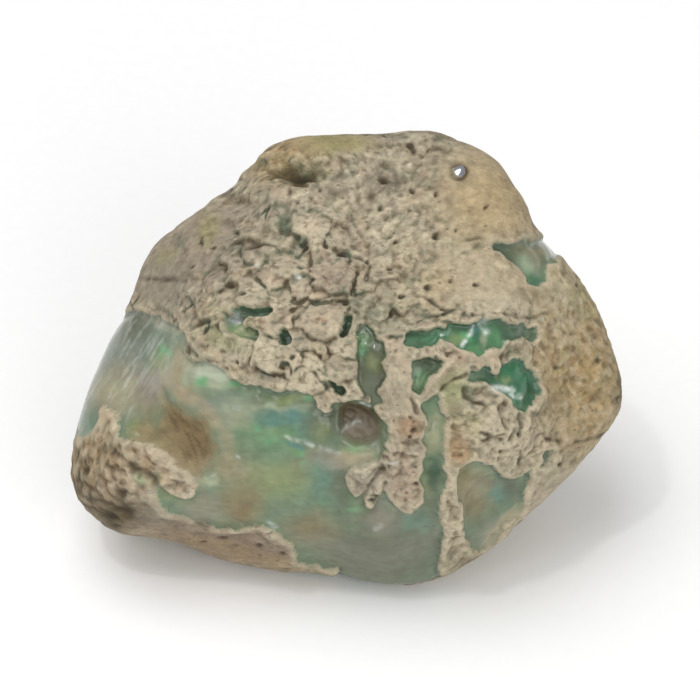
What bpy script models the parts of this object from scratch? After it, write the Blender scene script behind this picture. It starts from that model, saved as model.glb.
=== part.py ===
"""A rough opal nodule, still in its clay rind.

The stone is one solid lump. Its broken show face looks forward and up. The clay rind covers the top
and the ends in cracked plates, and the opal shows as smooth sunken windows where the rind has come off.

The form is built in three steps: a cube cut into a fine grid is blown up into a ball, every corner is
drawn in or out to the stone's own outline, depth and broken faces, and then the rind's plates, ribs,
lumps and pits are raised on that. The relief is laid out on a flat sheet, in millimetres, held square
to the show face. The stone rests on one flat face underneath.
"""

import math

import bmesh
import bpy
from mathutils import Vector, noise

MM = 0.001

# ---------------------------------------------------------------- driving dimensions, in millimetres
GRID_CUTS = 27             # cuts along each edge of the starting cube: one more square than cuts
SHOW_TILT = 40.0           # degrees: how far the show face looks up from level
SHEET_DISTANCE = 300.0     # the drawing sheet's lines meet this far in front of the stone
CORE_HEIGHT = 12.6         # from the resting face up to the stone's core
CORE_ACROSS = 0.2          # the core's place, which keeps the stone's box centred on the origin
CORE_BACK = 0.0

FRONT_DEPTH = 14.2         # from the core to the roundest front, before the broken faces cut it
BACK_DEPTH = 13.8
ROUNDNESS = 2.4            # 2 is an ellipsoid, higher is boxier
SHOW_FACE_PULL = 0.24      # how far the grid is drawn round to the show face, for finer squares there
FACET_CRISPNESS = 26.0     # higher gives sharper edges between the broken faces
OUTLINE_BAND = (0.04, 0.34)  # the broken faces fade out over this band next to the outline
RELIEF_BAND = (-0.10, 0.30)  # and the relief over this one
CORNER_EASING = 0.35       # how far each corner is drawn to the middle of its neighbours
SNAP_TO_BASE = 0.08        # corners this near the resting plane are put on it

WINDOW_DEPTH = 0.6         # the opal windows lie this far below the rind
WINDOW_EDGE = 0.45         # half the width of the worn step round a window
PLATE_SIZE = 2.9           # the rind's cracked plates
PLATE_HEIGHT = 0.65
SWELL_SIZE = 7.5           # the stone's broad uneven swells
SWELL_HEIGHT = 0.45
GRAIN_SIZE = 2.2           # lumps the size of a grain of rice
GRAIN_HEIGHT = 0.22
BARE_PATCH_SIZE = 8.0      # the patches where the rind has come off behind
BARE_PATCH_LIMIT = 0.22

RIND_COLOR = (0.42, 0.36, 0.27, 1.0)

# The stone's outline seen square to the show face: (across, up) from the core, anticlockwise from
# the tip at the right.
OUTLINE = (
    (20.6, -2.8), (20.1, 0.2), (19.1, 2.9), (17.8, 5.6), (16.3, 7.6), (15.1, 9.0), (13.7, 10.1),
    (12.8, 12.1), (11.3, 14.3), (9.8, 16.1), (7.3, 17.0), (6.1, 17.9), (2.6, 17.3), (-0.8, 17.3),
    (-4.3, 17.1), (-5.8, 16.4), (-7.0, 15.1), (-8.5, 13.5), (-10.9, 11.9), (-13.0, 10.4),
    (-14.8, 8.7), (-16.0, 7.0), (-16.0, 5.7), (-16.3, 4.3), (-17.7, 2.7), (-19.0, 0.1),
    (-20.2, -3.1), (-20.8, -6.7), (-20.9, -8.4), (-20.1, -10.0), (-18.6, -11.6), (-17.6, -13.0),
    (-13.9, -12.7), (-10.5, -14.2), (-7.1, -15.2), (-0.8, -15.7), (1.1, -16.3), (4.7, -16.7),
    (7.8, -15.5), (10.9, -13.4), (13.3, -11.2), (15.9, -8.8), (18.9, -5.4),
)

# The broken faces: where each looks (across, up, out) and how far it lies from the core.
BROKEN_FACES = {
    "crust slope": ((0.08, 0.50, 0.86), 12.3),
    "opal window": ((-0.10, -0.40, 0.91), 11.8),
    "left fracture": ((-0.80, 0.22, 0.56), 15.9),
    "right end": ((0.82, 0.05, 0.57), 16.2),
    "lower right": ((0.55, -0.70, 0.45), 15.2),
    "curl under": ((-0.20, -0.90, 0.38), 14.8),
    "left shoulder": ((-0.55, 0.68, 0.48), 15.0),
    "upper back": ((0.10, 0.75, -0.65), 13.4),
    "left back": ((-0.72, 0.10, -0.68), 14.8),
    "right back": ((0.70, 0.15, -0.70), 14.4),
    "back": ((0.05, 0.15, -0.99), 11.6),
}

# Where the rind has come off the show face, as outlines on the sheet.
OPAL_WINDOWS = {
    "main window": (
        (-18.5, 3.0), (-15.0, 4.2), (-12.7, 2.7), (-10.8, 0.6), (-6.6, -1.8), (-3.6, -2.0),
        (-1.1, -3.4), (-1.1, -6.0), (-0.4, -8.2), (0.2, -9.8), (4.6, -11.0), (5.6, -9.0), (5.7, -2.6),
        (6.6, -2.2), (7.1, -8.6), (6.8, -16.5), (-3.8, -16.5), (-4.0, -13.6), (-6.6, -11.8),
        (-10.1, -12.1), (-14.2, -10.1), (-15.0, -6.3), (-16.5, -3.4), (-19.5, -4.4), (-21.0, -2.0),
    ),
    "green pocket": (
        (4.0, 1.6), (4.5, 2.9), (7.2, 3.0), (10.5, 3.6), (13.8, 2.5), (11.4, 1.4), (9.8, 0.8),
    ),
    "right pocket": (
        (11.2, 1.2), (12.8, 0.6), (14.0, -0.6), (14.0, -2.4), (12.2, -2.6), (9.2, -0.8), (9.2, -0.1),
    ),
    "green channel": (
        (0.6, 2.5), (2.6, 1.6), (2.5, -2.2), (1.6, -2.9), (0.6, -0.6),
    ),
    "step window": (
        (11.4, 9.2), (15.2, 9.6), (14.9, 6.2), (13.8, 6.1), (12.4, 7.5),
    ),
    "lower window": (
        (8.4, -7.8), (13.1, -8.6), (12.4, -10.6), (9.6, -13.8), (8.6, -11.6),
    ),
}

# Ribs of rind that stand on the opal: the line along the middle, half the width, and the height.
RIBS = {
    "worm rib": (((3.8, 1.0), (4.0, -1.4), (4.1, -4.4), (4.6, -5.6)), 1.4, 0.9),
    "lobed crust": (((1.0, -8.6), (3.0, -8.2), (4.6, -9.4)), 1.8, 0.5),
    "cross strip": (((5.2, -2.2), (7.2, -1.0), (9.4, 0.4)), 0.9, 0.5),
    "right rib": (((7.9, -8.6), (7.6, -11.6), (7.7, -14.6), (7.1, -16.0)), 1.0, 0.5),
}

# Lumps stand up and pits go down: where on the sheet, half the size each way, and the height.
LUMPS_AND_PITS = {
    "dome lobe": ((9.8, 12.6), (5.0, 3.8), 0.9),
    "corner lobe": ((-4.6, 15.0), (4.2, 2.4), 0.7),
    "corner hollow": ((-3.9, 14.7), (2.0, 0.9), -1.6),
    "gnarled lump": ((-17.8, -8.6), (3.4, 3.4), 0.9),
    "bowl": ((-11.8, -4.8), (3.0, 3.4), -0.8),
    "glassy pocket": ((0.6, -4.2), (2.0, 1.5), -0.7),
    "pale block": ((-2.9, 10.2), (1.7, 1.4), 0.5),
    "round block": ((-2.4, 3.5), (2.2, 1.4), 0.5),
    "shoulder notch": ((-15.6, 6.3), (1.7, 0.6), -0.5),
}

SHOW = math.radians(SHOW_TILT)
ACROSS = Vector((1.0, 0.0, 0.0))
OUT = Vector((0.0, -math.cos(SHOW), math.sin(SHOW)))
UP = Vector((0.0, math.sin(SHOW), math.cos(SHOW)))


def clear_scene():
    """Remove every object that is already in the scene."""
    for thing in list(bpy.data.objects):
        bpy.data.objects.remove(thing, do_unlink=True)


def smooth_step(value, low, high):
    """Nought below low, one above high, and an S-shaped rise between them."""
    share = min(1.0, max(0.0, (value - low) / (high - low)))
    return share * share * (3.0 - 2.0 * share)


def outline_reach(angle):
    """How far the outline lies from the core, along one direction in the sheet."""
    aim_across = math.cos(angle)
    aim_up = math.sin(angle)
    reach = 0.0
    for start, end in zip(OUTLINE, OUTLINE[1:] + OUTLINE[:1]):
        run = end[0] - start[0]
        rise = end[1] - start[1]
        spread = aim_across * rise - aim_up * run
        if abs(spread) < 1e-9:
            continue
        distance = (start[0] * rise - start[1] * run) / spread
        along = (start[0] * aim_up - start[1] * aim_across) / spread
        if 0.0 <= along <= 1.0:
            reach = max(reach, distance)
    return reach


def distance_inside(outline, across, up):
    """Distance from a point to a closed outline, above nought inside it and below nought outside."""
    nearest = math.inf
    inside = False
    for start, end in zip(outline, outline[1:] + outline[:1]):
        run = end[0] - start[0]
        rise = end[1] - start[1]
        along = ((across - start[0]) * run + (up - start[1]) * rise) / (run * run + rise * rise)
        along = min(1.0, max(0.0, along))
        gap = math.hypot(across - start[0] - along * run, up - start[1] - along * rise)
        nearest = min(nearest, gap)
        if (start[1] > up) != (end[1] > up) and across < start[0] + (up - start[1]) / rise * run:
            inside = not inside
    return nearest if inside else -nearest


def distance_to_line(line, across, up):
    """Distance from a point to an open line of straight pieces."""
    nearest = math.inf
    for start, end in zip(line, line[1:]):
        run = end[0] - start[0]
        rise = end[1] - start[1]
        along = ((across - start[0]) * run + (up - start[1]) * rise) / (run * run + rise * rise)
        along = min(1.0, max(0.0, along))
        gap = math.hypot(across - start[0] - along * run, up - start[1] - along * rise)
        nearest = min(nearest, gap)
    return nearest


def rounded_reach(direction):
    """The stone before anything broke off it: its outline, bulged out to the front and the back."""
    in_sheet = math.hypot(direction.dot(ACROSS), direction.dot(UP))
    toward_front = direction.dot(OUT)
    depth = FRONT_DEPTH if toward_front > 0.0 else BACK_DEPTH
    outline = outline_reach(math.atan2(direction.dot(UP), direction.dot(ACROSS)))
    bulge = (in_sheet / outline) ** ROUNDNESS + (abs(toward_front) / depth) ** ROUNDNESS
    return bulge ** (-1.0 / ROUNDNESS)


def broken_reach(direction):
    """The rounded stone with its broken faces cut in, which fade out at the outline."""
    whole = rounded_reach(direction)
    crowding = whole ** -FACET_CRISPNESS
    for (across, up, out), distance in BROKEN_FACES.values():
        normal = (ACROSS * across + UP * up + OUT * out).normalized()
        facing = direction.dot(normal)
        if facing > 0.0:
            crowding += (facing / distance) ** FACET_CRISPNESS
    cut = crowding ** (-1.0 / FACET_CRISPNESS)
    return whole + (cut - whole) * smooth_step(abs(direction.dot(OUT)), *OUTLINE_BAND)


def on_sheet(point):
    """Where a point of the stone falls on the drawing sheet."""
    spread = SHEET_DISTANCE / (SHEET_DISTANCE - point.dot(OUT))
    return point.dot(ACROSS) * spread, point.dot(UP) * spread


def window_share(point, across, up):
    """One in the middle of an opal window, nought on the rind."""
    if point.dot(OUT) > 0.0:
        inside = max(distance_inside(outline, across, up) for outline in OPAL_WINDOWS.values())
        return smooth_step(inside, -WINDOW_EDGE, WINDOW_EDGE)
    bare = noise.noise(point / BARE_PATCH_SIZE)
    return smooth_step(bare, BARE_PATCH_LIMIT - 0.06, BARE_PATCH_LIMIT + 0.06)


def rib_height(across, up):
    """The ribs of rind that cross the opal."""
    height = 0.0
    for line, half_width, crest in RIBS.values():
        gap = distance_to_line(line, across, up) / half_width
        height = max(height, crest * math.exp(-gap ** 4))
    return height


def lump_height(across, up):
    """The named lumps, less the named pits."""
    height = 0.0
    for (middle_across, middle_up), (half_across, half_up), crest in LUMPS_AND_PITS.values():
        gap = math.hypot((across - middle_across) / half_across, (up - middle_up) / half_up)
        height += crest * math.exp(-gap ** 3)
    return height


def plate_height(point):
    """The rind's plates, with a worn crack where two of them meet."""
    distances, _ = noise.voronoi(point / PLATE_SIZE)
    return PLATE_HEIGHT * (smooth_step(distances[1] - distances[0], 0.02, 0.36) - 0.6)


def relief(point):
    """How far the surface stands off the broken stone at a point of it."""
    across, up = on_sheet(point)
    window = window_share(point, across, up)
    rind = 1.0 - window
    swell = SWELL_HEIGHT * noise.noise(point / SWELL_SIZE)
    grain = GRAIN_HEIGHT * noise.noise(point / GRAIN_SIZE) * rind
    height = swell + grain + plate_height(point) * rind - WINDOW_DEPTH * window
    if point.dot(OUT) > 0.0:
        height += rib_height(across, up) + lump_height(across, up)
    return height


def surface_point(direction):
    """The surface along one direction from the core, with its relief left off along the outline."""
    reach = broken_reach(direction)
    from_outline = smooth_step(abs(direction.dot(OUT)), *RELIEF_BAND)
    return direction * (reach + relief(direction * reach) * from_outline)


def make_ball():
    """A cube cut into a grid of squares, blown up into a ball with finer squares on the show face."""
    ball = bmesh.new()
    bmesh.ops.create_cube(ball, size=2.0)
    bmesh.ops.subdivide_edges(ball, edges=ball.edges[:], cuts=GRID_CUTS, use_grid_fill=True)
    for corner in ball.verts:
        evened = Vector(math.tan(value * math.pi / 4.0) for value in corner.co)
        corner.co = (evened.normalized() + OUT * SHOW_FACE_PULL).normalized()
    return ball


def rind_material():
    """Dry tan clay, which covers most of the stone."""
    material = bpy.data.materials.new("clay_rind")
    material.use_nodes = True
    shader = material.node_tree.nodes["Principled BSDF"]
    shader.inputs["Base Color"].default_value = RIND_COLOR
    shader.inputs["Roughness"].default_value = 0.75
    shader.inputs["Metallic"].default_value = 0.0
    return material


def cut_resting_face(ball):
    """Slice the stone level at nought and close the cut with one flat face."""
    bmesh.ops.bisect_plane(
        ball, geom=ball.verts[:] + ball.edges[:] + ball.faces[:], dist=SNAP_TO_BASE,
        plane_co=(0.0, 0.0, 0.0), plane_no=(0.0, 0.0, -1.0), clear_outer=True,
    )
    bmesh.ops.remove_doubles(ball, verts=ball.verts[:], dist=SNAP_TO_BASE)
    rim = [edge for edge in ball.edges if edge.is_boundary]
    for edge in rim:
        for corner in edge.verts:
            corner.co.z = 0.0
    bmesh.ops.contextual_create(ball, geom=rim)


def make_stone():
    """The whole stone as one closed mesh, standing on its flat face at the origin."""
    ball = make_ball()
    core = Vector((CORE_ACROSS, CORE_BACK, CORE_HEIGHT))
    for corner in ball.verts:
        corner.co = surface_point(corner.co.copy()) + core
    bmesh.ops.smooth_vert(
        ball, verts=ball.verts[:], factor=CORNER_EASING,
        use_axis_x=True, use_axis_y=True, use_axis_z=True,
    )
    cut_resting_face(ball)
    bmesh.ops.triangulate(ball, faces=ball.faces[:], quad_method='SHORT_EDGE')
    bmesh.ops.recalc_face_normals(ball, faces=ball.faces[:])
    bmesh.ops.scale(ball, verts=ball.verts[:], vec=(MM, MM, MM))
    mesh = bpy.data.meshes.new("rough_opal")
    ball.to_mesh(mesh)
    ball.free()
    mesh.shade_smooth()
    mesh.materials.append(rind_material())
    stone = bpy.data.objects.new("rough_opal", mesh)
    bpy.context.scene.collection.objects.link(stone)
    return stone


clear_scene()
make_stone()
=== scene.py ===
# %% [markdown]
# # A rough opal, dressed
# This stone is one lump of precious opal that grew in a gap in volcanic clay. Where the dry clay rind has
# broken away, the milky opal shows as smooth sunken windows with green and teal flashes.
# The lesson makes the finest surface first, in millimetres, and then the finish that reads it.

# %%  The fixed frame
import math

import bmesh
import bpy
import numpy as np
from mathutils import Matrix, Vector, noise
from mathutils.bvhtree import BVHTree


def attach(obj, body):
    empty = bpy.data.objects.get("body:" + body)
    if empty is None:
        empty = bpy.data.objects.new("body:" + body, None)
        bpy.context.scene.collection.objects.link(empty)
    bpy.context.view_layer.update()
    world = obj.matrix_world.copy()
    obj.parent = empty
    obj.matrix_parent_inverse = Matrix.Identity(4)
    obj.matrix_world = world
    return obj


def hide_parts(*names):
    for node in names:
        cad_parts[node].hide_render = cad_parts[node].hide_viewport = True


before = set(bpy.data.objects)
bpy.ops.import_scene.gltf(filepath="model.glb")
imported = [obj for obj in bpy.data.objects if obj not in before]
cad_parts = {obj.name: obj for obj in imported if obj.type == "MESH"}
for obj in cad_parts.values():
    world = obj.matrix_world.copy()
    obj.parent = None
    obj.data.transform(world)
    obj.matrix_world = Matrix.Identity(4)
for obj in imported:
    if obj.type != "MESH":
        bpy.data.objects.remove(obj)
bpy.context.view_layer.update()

MM = 0.001
NODE = "rough_opal"

# %% [markdown]
# The show face looks forward and 40 degrees up, so the camera stands that high and looks square at it.
# Everything drawn on the stone is laid out on a flat sheet held square to the show face, in millimetres
# across and up from the core, the point deep in the stone that its shape is worked out from.

# %%  The sheet and the camera
SHOW_TILT = math.radians(40.0)
CORE = Vector((0.2, 0.0, 12.6))
EYE_DISTANCE = 300.0
PICTURE_WIDTH = 52.5
AIM_ABOVE_CORE = 1.2
SENSOR = 36.0
ACROSS = Vector((1.0, 0.0, 0.0))
OUT = Vector((0.0, -math.cos(SHOW_TILT), math.sin(SHOW_TILT)))
UP = Vector((0.0, math.sin(SHOW_TILT), math.cos(SHOW_TILT)))


def make_camera():
    """A long lens, square to the show face."""
    lens = bpy.data.cameras.new("camera")
    lens.sensor_width = SENSOR
    lens.lens = SENSOR * EYE_DISTANCE / PICTURE_WIDTH
    lens.clip_start = 10.0 * MM
    camera = bpy.data.objects.new("camera", lens)
    bpy.context.scene.collection.objects.link(camera)
    camera.location = (CORE + UP * AIM_ABOVE_CORE + OUT * EYE_DISTANCE) * MM
    camera.rotation_euler = OUT.to_track_quat("Z", "Y").to_euler()
    bpy.context.scene.camera = camera
    print("lens, mm:", round(lens.lens, 1))


make_camera()

# %% [markdown]
# The fine skin starts as a cube cut into a grid and blown up into a ball. Drawing the grid round to the
# show face puts the finest squares where the stone has the most to show: about a tenth of a millimetre
# there. A sphere primitive would pinch at its poles, and a cube's grid doesn't.

# %%  A ball of even squares
GRID_CUTS = 127
SHOW_FACE_PULL = 0.5


def make_ball():
    """The grid ball as a bmesh whose corners are unit directions from the core."""
    ball = bmesh.new()
    bmesh.ops.create_cube(ball, size=2.0)
    bmesh.ops.subdivide_edges(ball, edges=ball.edges[:], cuts=GRID_CUTS, use_grid_fill=True)
    bmesh.ops.recalc_face_normals(ball, faces=ball.faces[:])
    for corner in ball.verts:
        evened = Vector([math.tan(value * math.pi / 4.0) for value in corner.co])
        corner.co = (evened.normalized() + OUT * SHOW_FACE_PULL).normalized()
    return ball


ball = make_ball()
skin_mesh = bpy.data.meshes.new("opal_skin")
ball.to_mesh(skin_mesh)
ball.free()
corner_count = len(skin_mesh.vertices)
directions = np.empty(corner_count * 3)
skin_mesh.vertices.foreach_get("co", directions)
directions = directions.reshape(-1, 3)
print("squares in the skin:", len(skin_mesh.polygons))

# %% [markdown]
# Each corner then goes out along its direction until it meets the solid stone, so the skin fits the frame
# exactly. The solid is made of millimetre facets. Averaging each corner's reach with its neighbours'
# melts those facets, as heat would in wax, and the flat resting face is pressed back afterwards.

# %%  Lay the skin on the solid
MELTING_ROUNDS = 60


def reach_of_solid(node):
    """How far the solid goes from the core along each direction, in millimetres."""
    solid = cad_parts[node]
    corners = [corner.co / MM - CORE for corner in solid.data.vertices]
    faces = [tuple(face.vertices) for face in solid.data.polygons]
    tree = BVHTree.FromPolygons(corners, faces)
    origin = Vector((0.0, 0.0, 0.0))
    return np.array([tree.ray_cast(origin, Vector(aim))[3] for aim in directions])


def edge_ends(mesh):
    """The two corners of every edge, as two arrays."""
    ends = np.empty(len(mesh.edges) * 2, int)
    mesh.edges.foreach_get("vertices", ends)
    return ends[0::2], ends[1::2]


def melted(values, rounds):
    """Each value drawn to the mean of its neighbours, again and again."""
    neighbours = np.bincount(np.concatenate([first_end, second_end]), minlength=corner_count)
    for _ in range(rounds):
        total = np.bincount(first_end, values[second_end], corner_count)
        total += np.bincount(second_end, values[first_end], corner_count)
        values = 0.5 * values + 0.5 * total / neighbours
    return values


def pressed_flat(reach):
    """No corner goes below the resting face."""
    down = np.minimum(directions[:, 2], -1e-6)
    return np.where(directions[:, 2] < 0.0, np.minimum(reach, -CORE.z / down), reach)


first_end, second_end = edge_ends(skin_mesh)
reach = pressed_flat(melted(reach_of_solid(NODE), MELTING_ROUNDS))
places = directions * reach[:, None]
skin_mesh.vertices.foreach_set("co", places.ravel())
skin_mesh.update()
facing = np.empty(corner_count * 3)
skin_mesh.vertex_normals.foreach_get("vector", facing)
facing = facing.reshape(-1, 3) @ np.array(OUT)
toward_eye = places @ np.array(OUT)
spread = EYE_DISTANCE / (EYE_DISTANCE - toward_eye)
across = places @ np.array(ACROSS) * spread
up = places @ np.array(UP) * spread
print("reach of the stone, mm:", round(reach.min(), 1), "to", round(reach.max(), 1))

# %% [markdown]
# A few small tools measure the drawing: how deep a point lies in an outline, how far it is from a line,
# how far inside a soft patch, and how uneven natural noise is there. They work on every corner at once.
# What is drawn on the sheet may only land on the side that faces it, so drawn shapes are held to what is
# seen from there. A noise takes its grain in millimetres, and a shift that picks another stretch of it.

# %%  Measuring tools
SCATTER_MIX = Vector((12.99, 78.23, 37.72))  # any three numbers without a pattern
SCATTER_GAIN = 437.5  # large, so that places close together still draw different numbers


def rise(values, low, high):
    """Nought below low, one above high, and an S-shaped rise between."""
    share = np.clip((values - low) / (high - low), 0.0, 1.0)
    return share * share * (3.0 - 2.0 * share)


seen = rise(facing, -0.25, -0.05)
front = rise(facing, -0.15, 0.0)


def gap_to_line(line, closed=False):
    """Distance on the sheet from each corner to a line of straight pieces."""
    nearest = np.full(corner_count, np.inf)
    ends = line[1:] + line[:1] if closed else line[1:]
    for start, end in zip(line, ends):
        run, climb = end[0] - start[0], end[1] - start[1]
        along = ((across - start[0]) * run + (up - start[1]) * climb) / (run * run + climb * climb)
        along = np.clip(along, 0.0, 1.0)
        gap = np.hypot(across - start[0] - along * run, up - start[1] - along * climb)
        nearest = np.minimum(nearest, gap)
    return nearest


def depth_inside(outline):
    """Distance to a closed outline, above nought inside it and below nought outside."""
    inside = np.zeros(corner_count, bool)
    for start, end in zip(outline, outline[1:] + outline[:1]):
        if start[1] == end[1]:
            continue
        crossing = start[0] + (up - start[1]) / (end[1] - start[1]) * (end[0] - start[0])
        inside ^= ((start[1] > up) != (end[1] > up)) & (across < crossing)
    gap = gap_to_line(outline, closed=True)
    return np.where(inside, gap, -gap)


def turned(spots, turn=0.0):
    """Places on the sheet measured along a line turned by so many degrees, and aside from it."""
    swing = math.radians(turn)
    along = spots[0] * math.cos(swing) + spots[1] * math.sin(swing)
    return along, spots[1] * math.cos(swing) - spots[0] * math.sin(swing)


def blob(patch, sharpness=2.0, spots=None):
    """A soft patch: one in its middle, fading out about half its size away.

    A patch is its middle across and up, half its width and height, and the degrees it is turned, if any."""
    middle_across, middle_up, half_across, half_up, *turn = patch
    spot_across, spot_up = spots or (across, up)
    along, aside = turned((spot_across - middle_across, spot_up - middle_up), *turn)
    return np.exp(-np.hypot(along / half_across, aside / half_up) ** sharpness) * seen


def noise_at(spots):
    """Natural noise at each of some places, from about -1 to 1."""
    return np.array([noise.noise(Vector(spot)) for spot in spots])


def uneven(size, shift=0.0):
    """Natural noise of a given grain size at every corner."""
    return noise_at(places / size + shift)


def cells(size, shift=0.0, spots=None):
    """Cells round scattered points, as four rows: how far each corner is from its point and from the
    cell's border, the cell's random number, and how much higher up the sheet its point lies."""
    rows = []
    for spot in (places if spots is None else spots) / size + shift:
        gaps, points = noise.voronoi(Vector(spot))
        number = math.sin(points[0].dot(SCATTER_MIX)) * SCATTER_GAIN % 1.0
        above = (points[0] - Vector(spot)).dot(UP)
        rows.append((gaps[0] * size, 0.5 * (gaps[1] - gaps[0]) * size, number, above * size))
    return np.array(rows).T


def slope_up(values):
    """How fast values grow up the sheet at every corner, for each millimetre."""
    climb = up[second_end] - up[first_end]
    total = np.zeros(corner_count)
    weight = np.zeros(corner_count)
    for end in (first_end, second_end):
        total += np.bincount(end, (values[second_end] - values[first_end]) * climb, corner_count)
        weight += np.bincount(end, climb ** 2, corner_count)
    return total / weight


def strayed(far, size, shift):
    """The sheet places of the corners, each led a little astray, so that drawn shapes turn out ragged."""
    return across + far * uneven(size, shift), up + far * uneven(size, shift + 5.0)


print("share of the skin in sight of the sheet:", round(float(seen.mean()), 2))

# %% [markdown]
# The opal windows are drawn as outlines, because their places give the stone its face. The true edge of a
# broken rind is ragged, so noise moves the outline in and out by a few tenths of a millimetre. Behind, where
# nothing is drawn, bare patches come from broad noise, the same that hollowed the solid.

# %%  Where the opal is bare
WINDOWS = {
    "main window": (
        (-18.4, 3.4), (-16.3, 4.1), (-15.0, 3.8), (-13.9, 3.3), (-12.9, 2.9), (-12.3, 2.2), (-12.5, 1.4),
        (-12.2, 0.5), (-10.6, 0.2), (-9.7, -0.1), (-9.1, -0.9), (-7.3, -1.4), (-5.6, -1.9), (-3.8, -1.9),
        (-2.9, -2.3),
        (-2.4, -3.2), (-1.5, -3.4), (-1.0, -2.9), (0.1, -2.6), (1.3, -2.8), (2.2, -3.5), (2.7, -4.6),
        (2.5, -5.7), (2.7, -6.3), (2.0, -7.0), (1.2, -7.4), (0.1, -7.6), (-0.4, -8.3), (-0.2, -9.4),
        (0.4, -9.9), (0.9, -9.6), (1.1, -10.3), (1.7, -10.5), (2.2, -10.1), (2.5, -9.6), (2.8, -10.1),
        (3.7, -10.8), (4.7, -10.9), (5.4, -10.4),
        (5.6, -9.4), (5.3, -8.5), (5.7, -7.6), (5.8, -6.3), (5.5, -5.5), (5.8, -4.4), (5.6, -2.7),
        (6.5, -2.2), (7.0, -3.4), (6.9, -4.6), (7.0, -6.1), (6.8, -7.4), (7.2, -8.2), (6.8, -9.3),
        (6.6, -11.0), (6.9, -12.2), (6.6, -14.7), (6.8, -16.9), (3.8, -17.7), (-0.8, -16.6),
        (-0.7, -15.1), (-1.9, -15.0), (-3.7, -14.6), (-4.0, -13.7), (-4.5, -13.1), (-5.2, -12.7),
        (-6.6, -11.9), (-8.4, -12.0), (-10.1, -12.1), (-11.5, -11.6), (-12.9, -10.9), (-14.2, -10.4),
        (-14.4, -9.1), (-13.3, -9.8), (-12.0, -10.0), (-11.5, -9.4), (-11.3, -8.6), (-12.0, -8.0),
        (-12.9, -7.6), (-13.4, -6.8), (-14.2, -6.1), (-15.3, -5.7), (-16.6, -5.4), (-17.2, -4.9),
        (-17.3, -4.2), (-17.2, -3.2), (-18.4, -2.9), (-18.9, -3.4), (-19.0, -4.6), (-20.2, -5.2),
        (-21.8, -5.5),
        (-21.8, 3.3),
    ),
    "green pocket": (
        (3.9, 1.7), (4.3, 2.7), (5.6, 2.5), (7.2, 2.7), (7.6, 3.1), (9.0, 3.0), (10.0, 3.6),
        (11.2, 3.3), (12.8, 3.0), (13.8, 2.7), (13.8, 2.1), (11.7, 2.1), (11.5, 1.7), (10.7, 1.6),
        (9.6, 0.8), (8.5, 1.5), (6.8, 2.1), (6.0, 1.6), (4.9, 1.4),
    ),
    "right pocket": (
        (11.6, 0.2), (12.0, 0.5), (12.9, 0.4), (13.2, -0.3), (13.7, -0.5), (14.0, -1.2), (13.9, -2.4),
        (13.3, -2.6), (13.1, -3.4), (12.5, -3.3), (12.3, -2.4), (11.8, -2.0), (10.8, -1.6),
        (10.1, -1.1), (8.9, -0.9), (9.1, -0.2), (10.3, -0.3), (11.0, -0.6),
    ),
    "left channel": (
        (0.65, 3.0), (1.2, 3.1), (1.8, 2.6), (1.9, 1.9), (2.4, 1.7), (2.6, 1.1), (2.3, 0.3), (2.7, -0.6),
        (2.1, -1.5), (2.0, -2.1), (2.4, -2.7), (1.7, -2.9), (1.3, -2.2), (0.65, -1.3), (0.65, 0.8),
    ),
    "step window": (
        (10.1, 9.2), (11.2, 9.1), (12.4, 9.1), (13.9, 9.4), (14.8, 9.7), (15.7, 8.8), (15.2, 7.9),
        (14.7, 7.6), (14.5, 6.5), (14.1, 6.1), (13.3, 6.4), (12.8, 7.2), (12.2, 7.9), (11.6, 8.2),
        (11.2, 8.7),
    ),
    "lower window": (
        (8.2, -7.8), (9.4, -7.2), (10.5, -7.4), (11.2, -8.4), (12.8, -8.4), (13.3, -7.9), (13.5, -8.5),
        (12.9, -9.7), (12.8, -10.7), (11.2, -12.3), (10.5, -13.3), (9.4, -13.9), (8.8, -13.0),
        (8.4, -11.9), (8.6, -10.8), (8.2, -10.0),
    ),
}
CLEFTS = {
    "shaded pocket": (
        (4.8, 0.2), (5.4, 0.6), (6.4, 0.8), (7.3, 0.4), (6.9, -0.3), (6.1, -0.9), (5.6, -1.6),
        (5.2, -2.2), (4.8, -1.6), (4.7, -0.7),
    ),
    "small cleft": ((-1.5, -1.1), (-0.9, -1.3), (-0.5, -1.9), (-0.7, -2.2), (-1.2, -1.9)),
    "dark gap": (
        (-8.8, 4.3), (-7.8, 4.4), (-6.9, 4.3), (-6.1, 4.6), (-5.6, 4.3), (-6.9, 3.6), (-7.6, 3.7),
        (-8.2, 4.1),
    ),
    "leaf gap": (
        (-9.6, 3.9), (-8.8, 4.1), (-8.0, 3.6), (-7.8, 2.9), (-7.0, 2.7), (-6.9, 1.9), (-8.2, 2.3),
        (-9.2, 2.7),
    ),
    "plate gap": ((-5.8, 2.5), (-5.0, 2.6), (-4.2, 2.3), (-4.5, 1.8), (-5.2, 1.8)),
    "rosette gap": ((-0.5, 3.9), (0.1, 3.8), (0.0, 2.9), (-0.5, 2.2), (-0.9, 2.5), (-0.4, 3.1)),
    "corner pocket": ((13.9, -7.4), (14.6, -6.5), (15.2, -6.3), (15.1, -7.0), (14.3, -7.6)),
}
BARE_PATCH_SIZE = 8.0
BARE_PATCH_LIMIT = 0.22
BARE_PATCH_SLOPE = 9.0
RAGGED = 0.24
EDGE_BREAK = 0.10
CRUMB_SIZE = 0.62
BORDER_MELTING = 3

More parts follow.
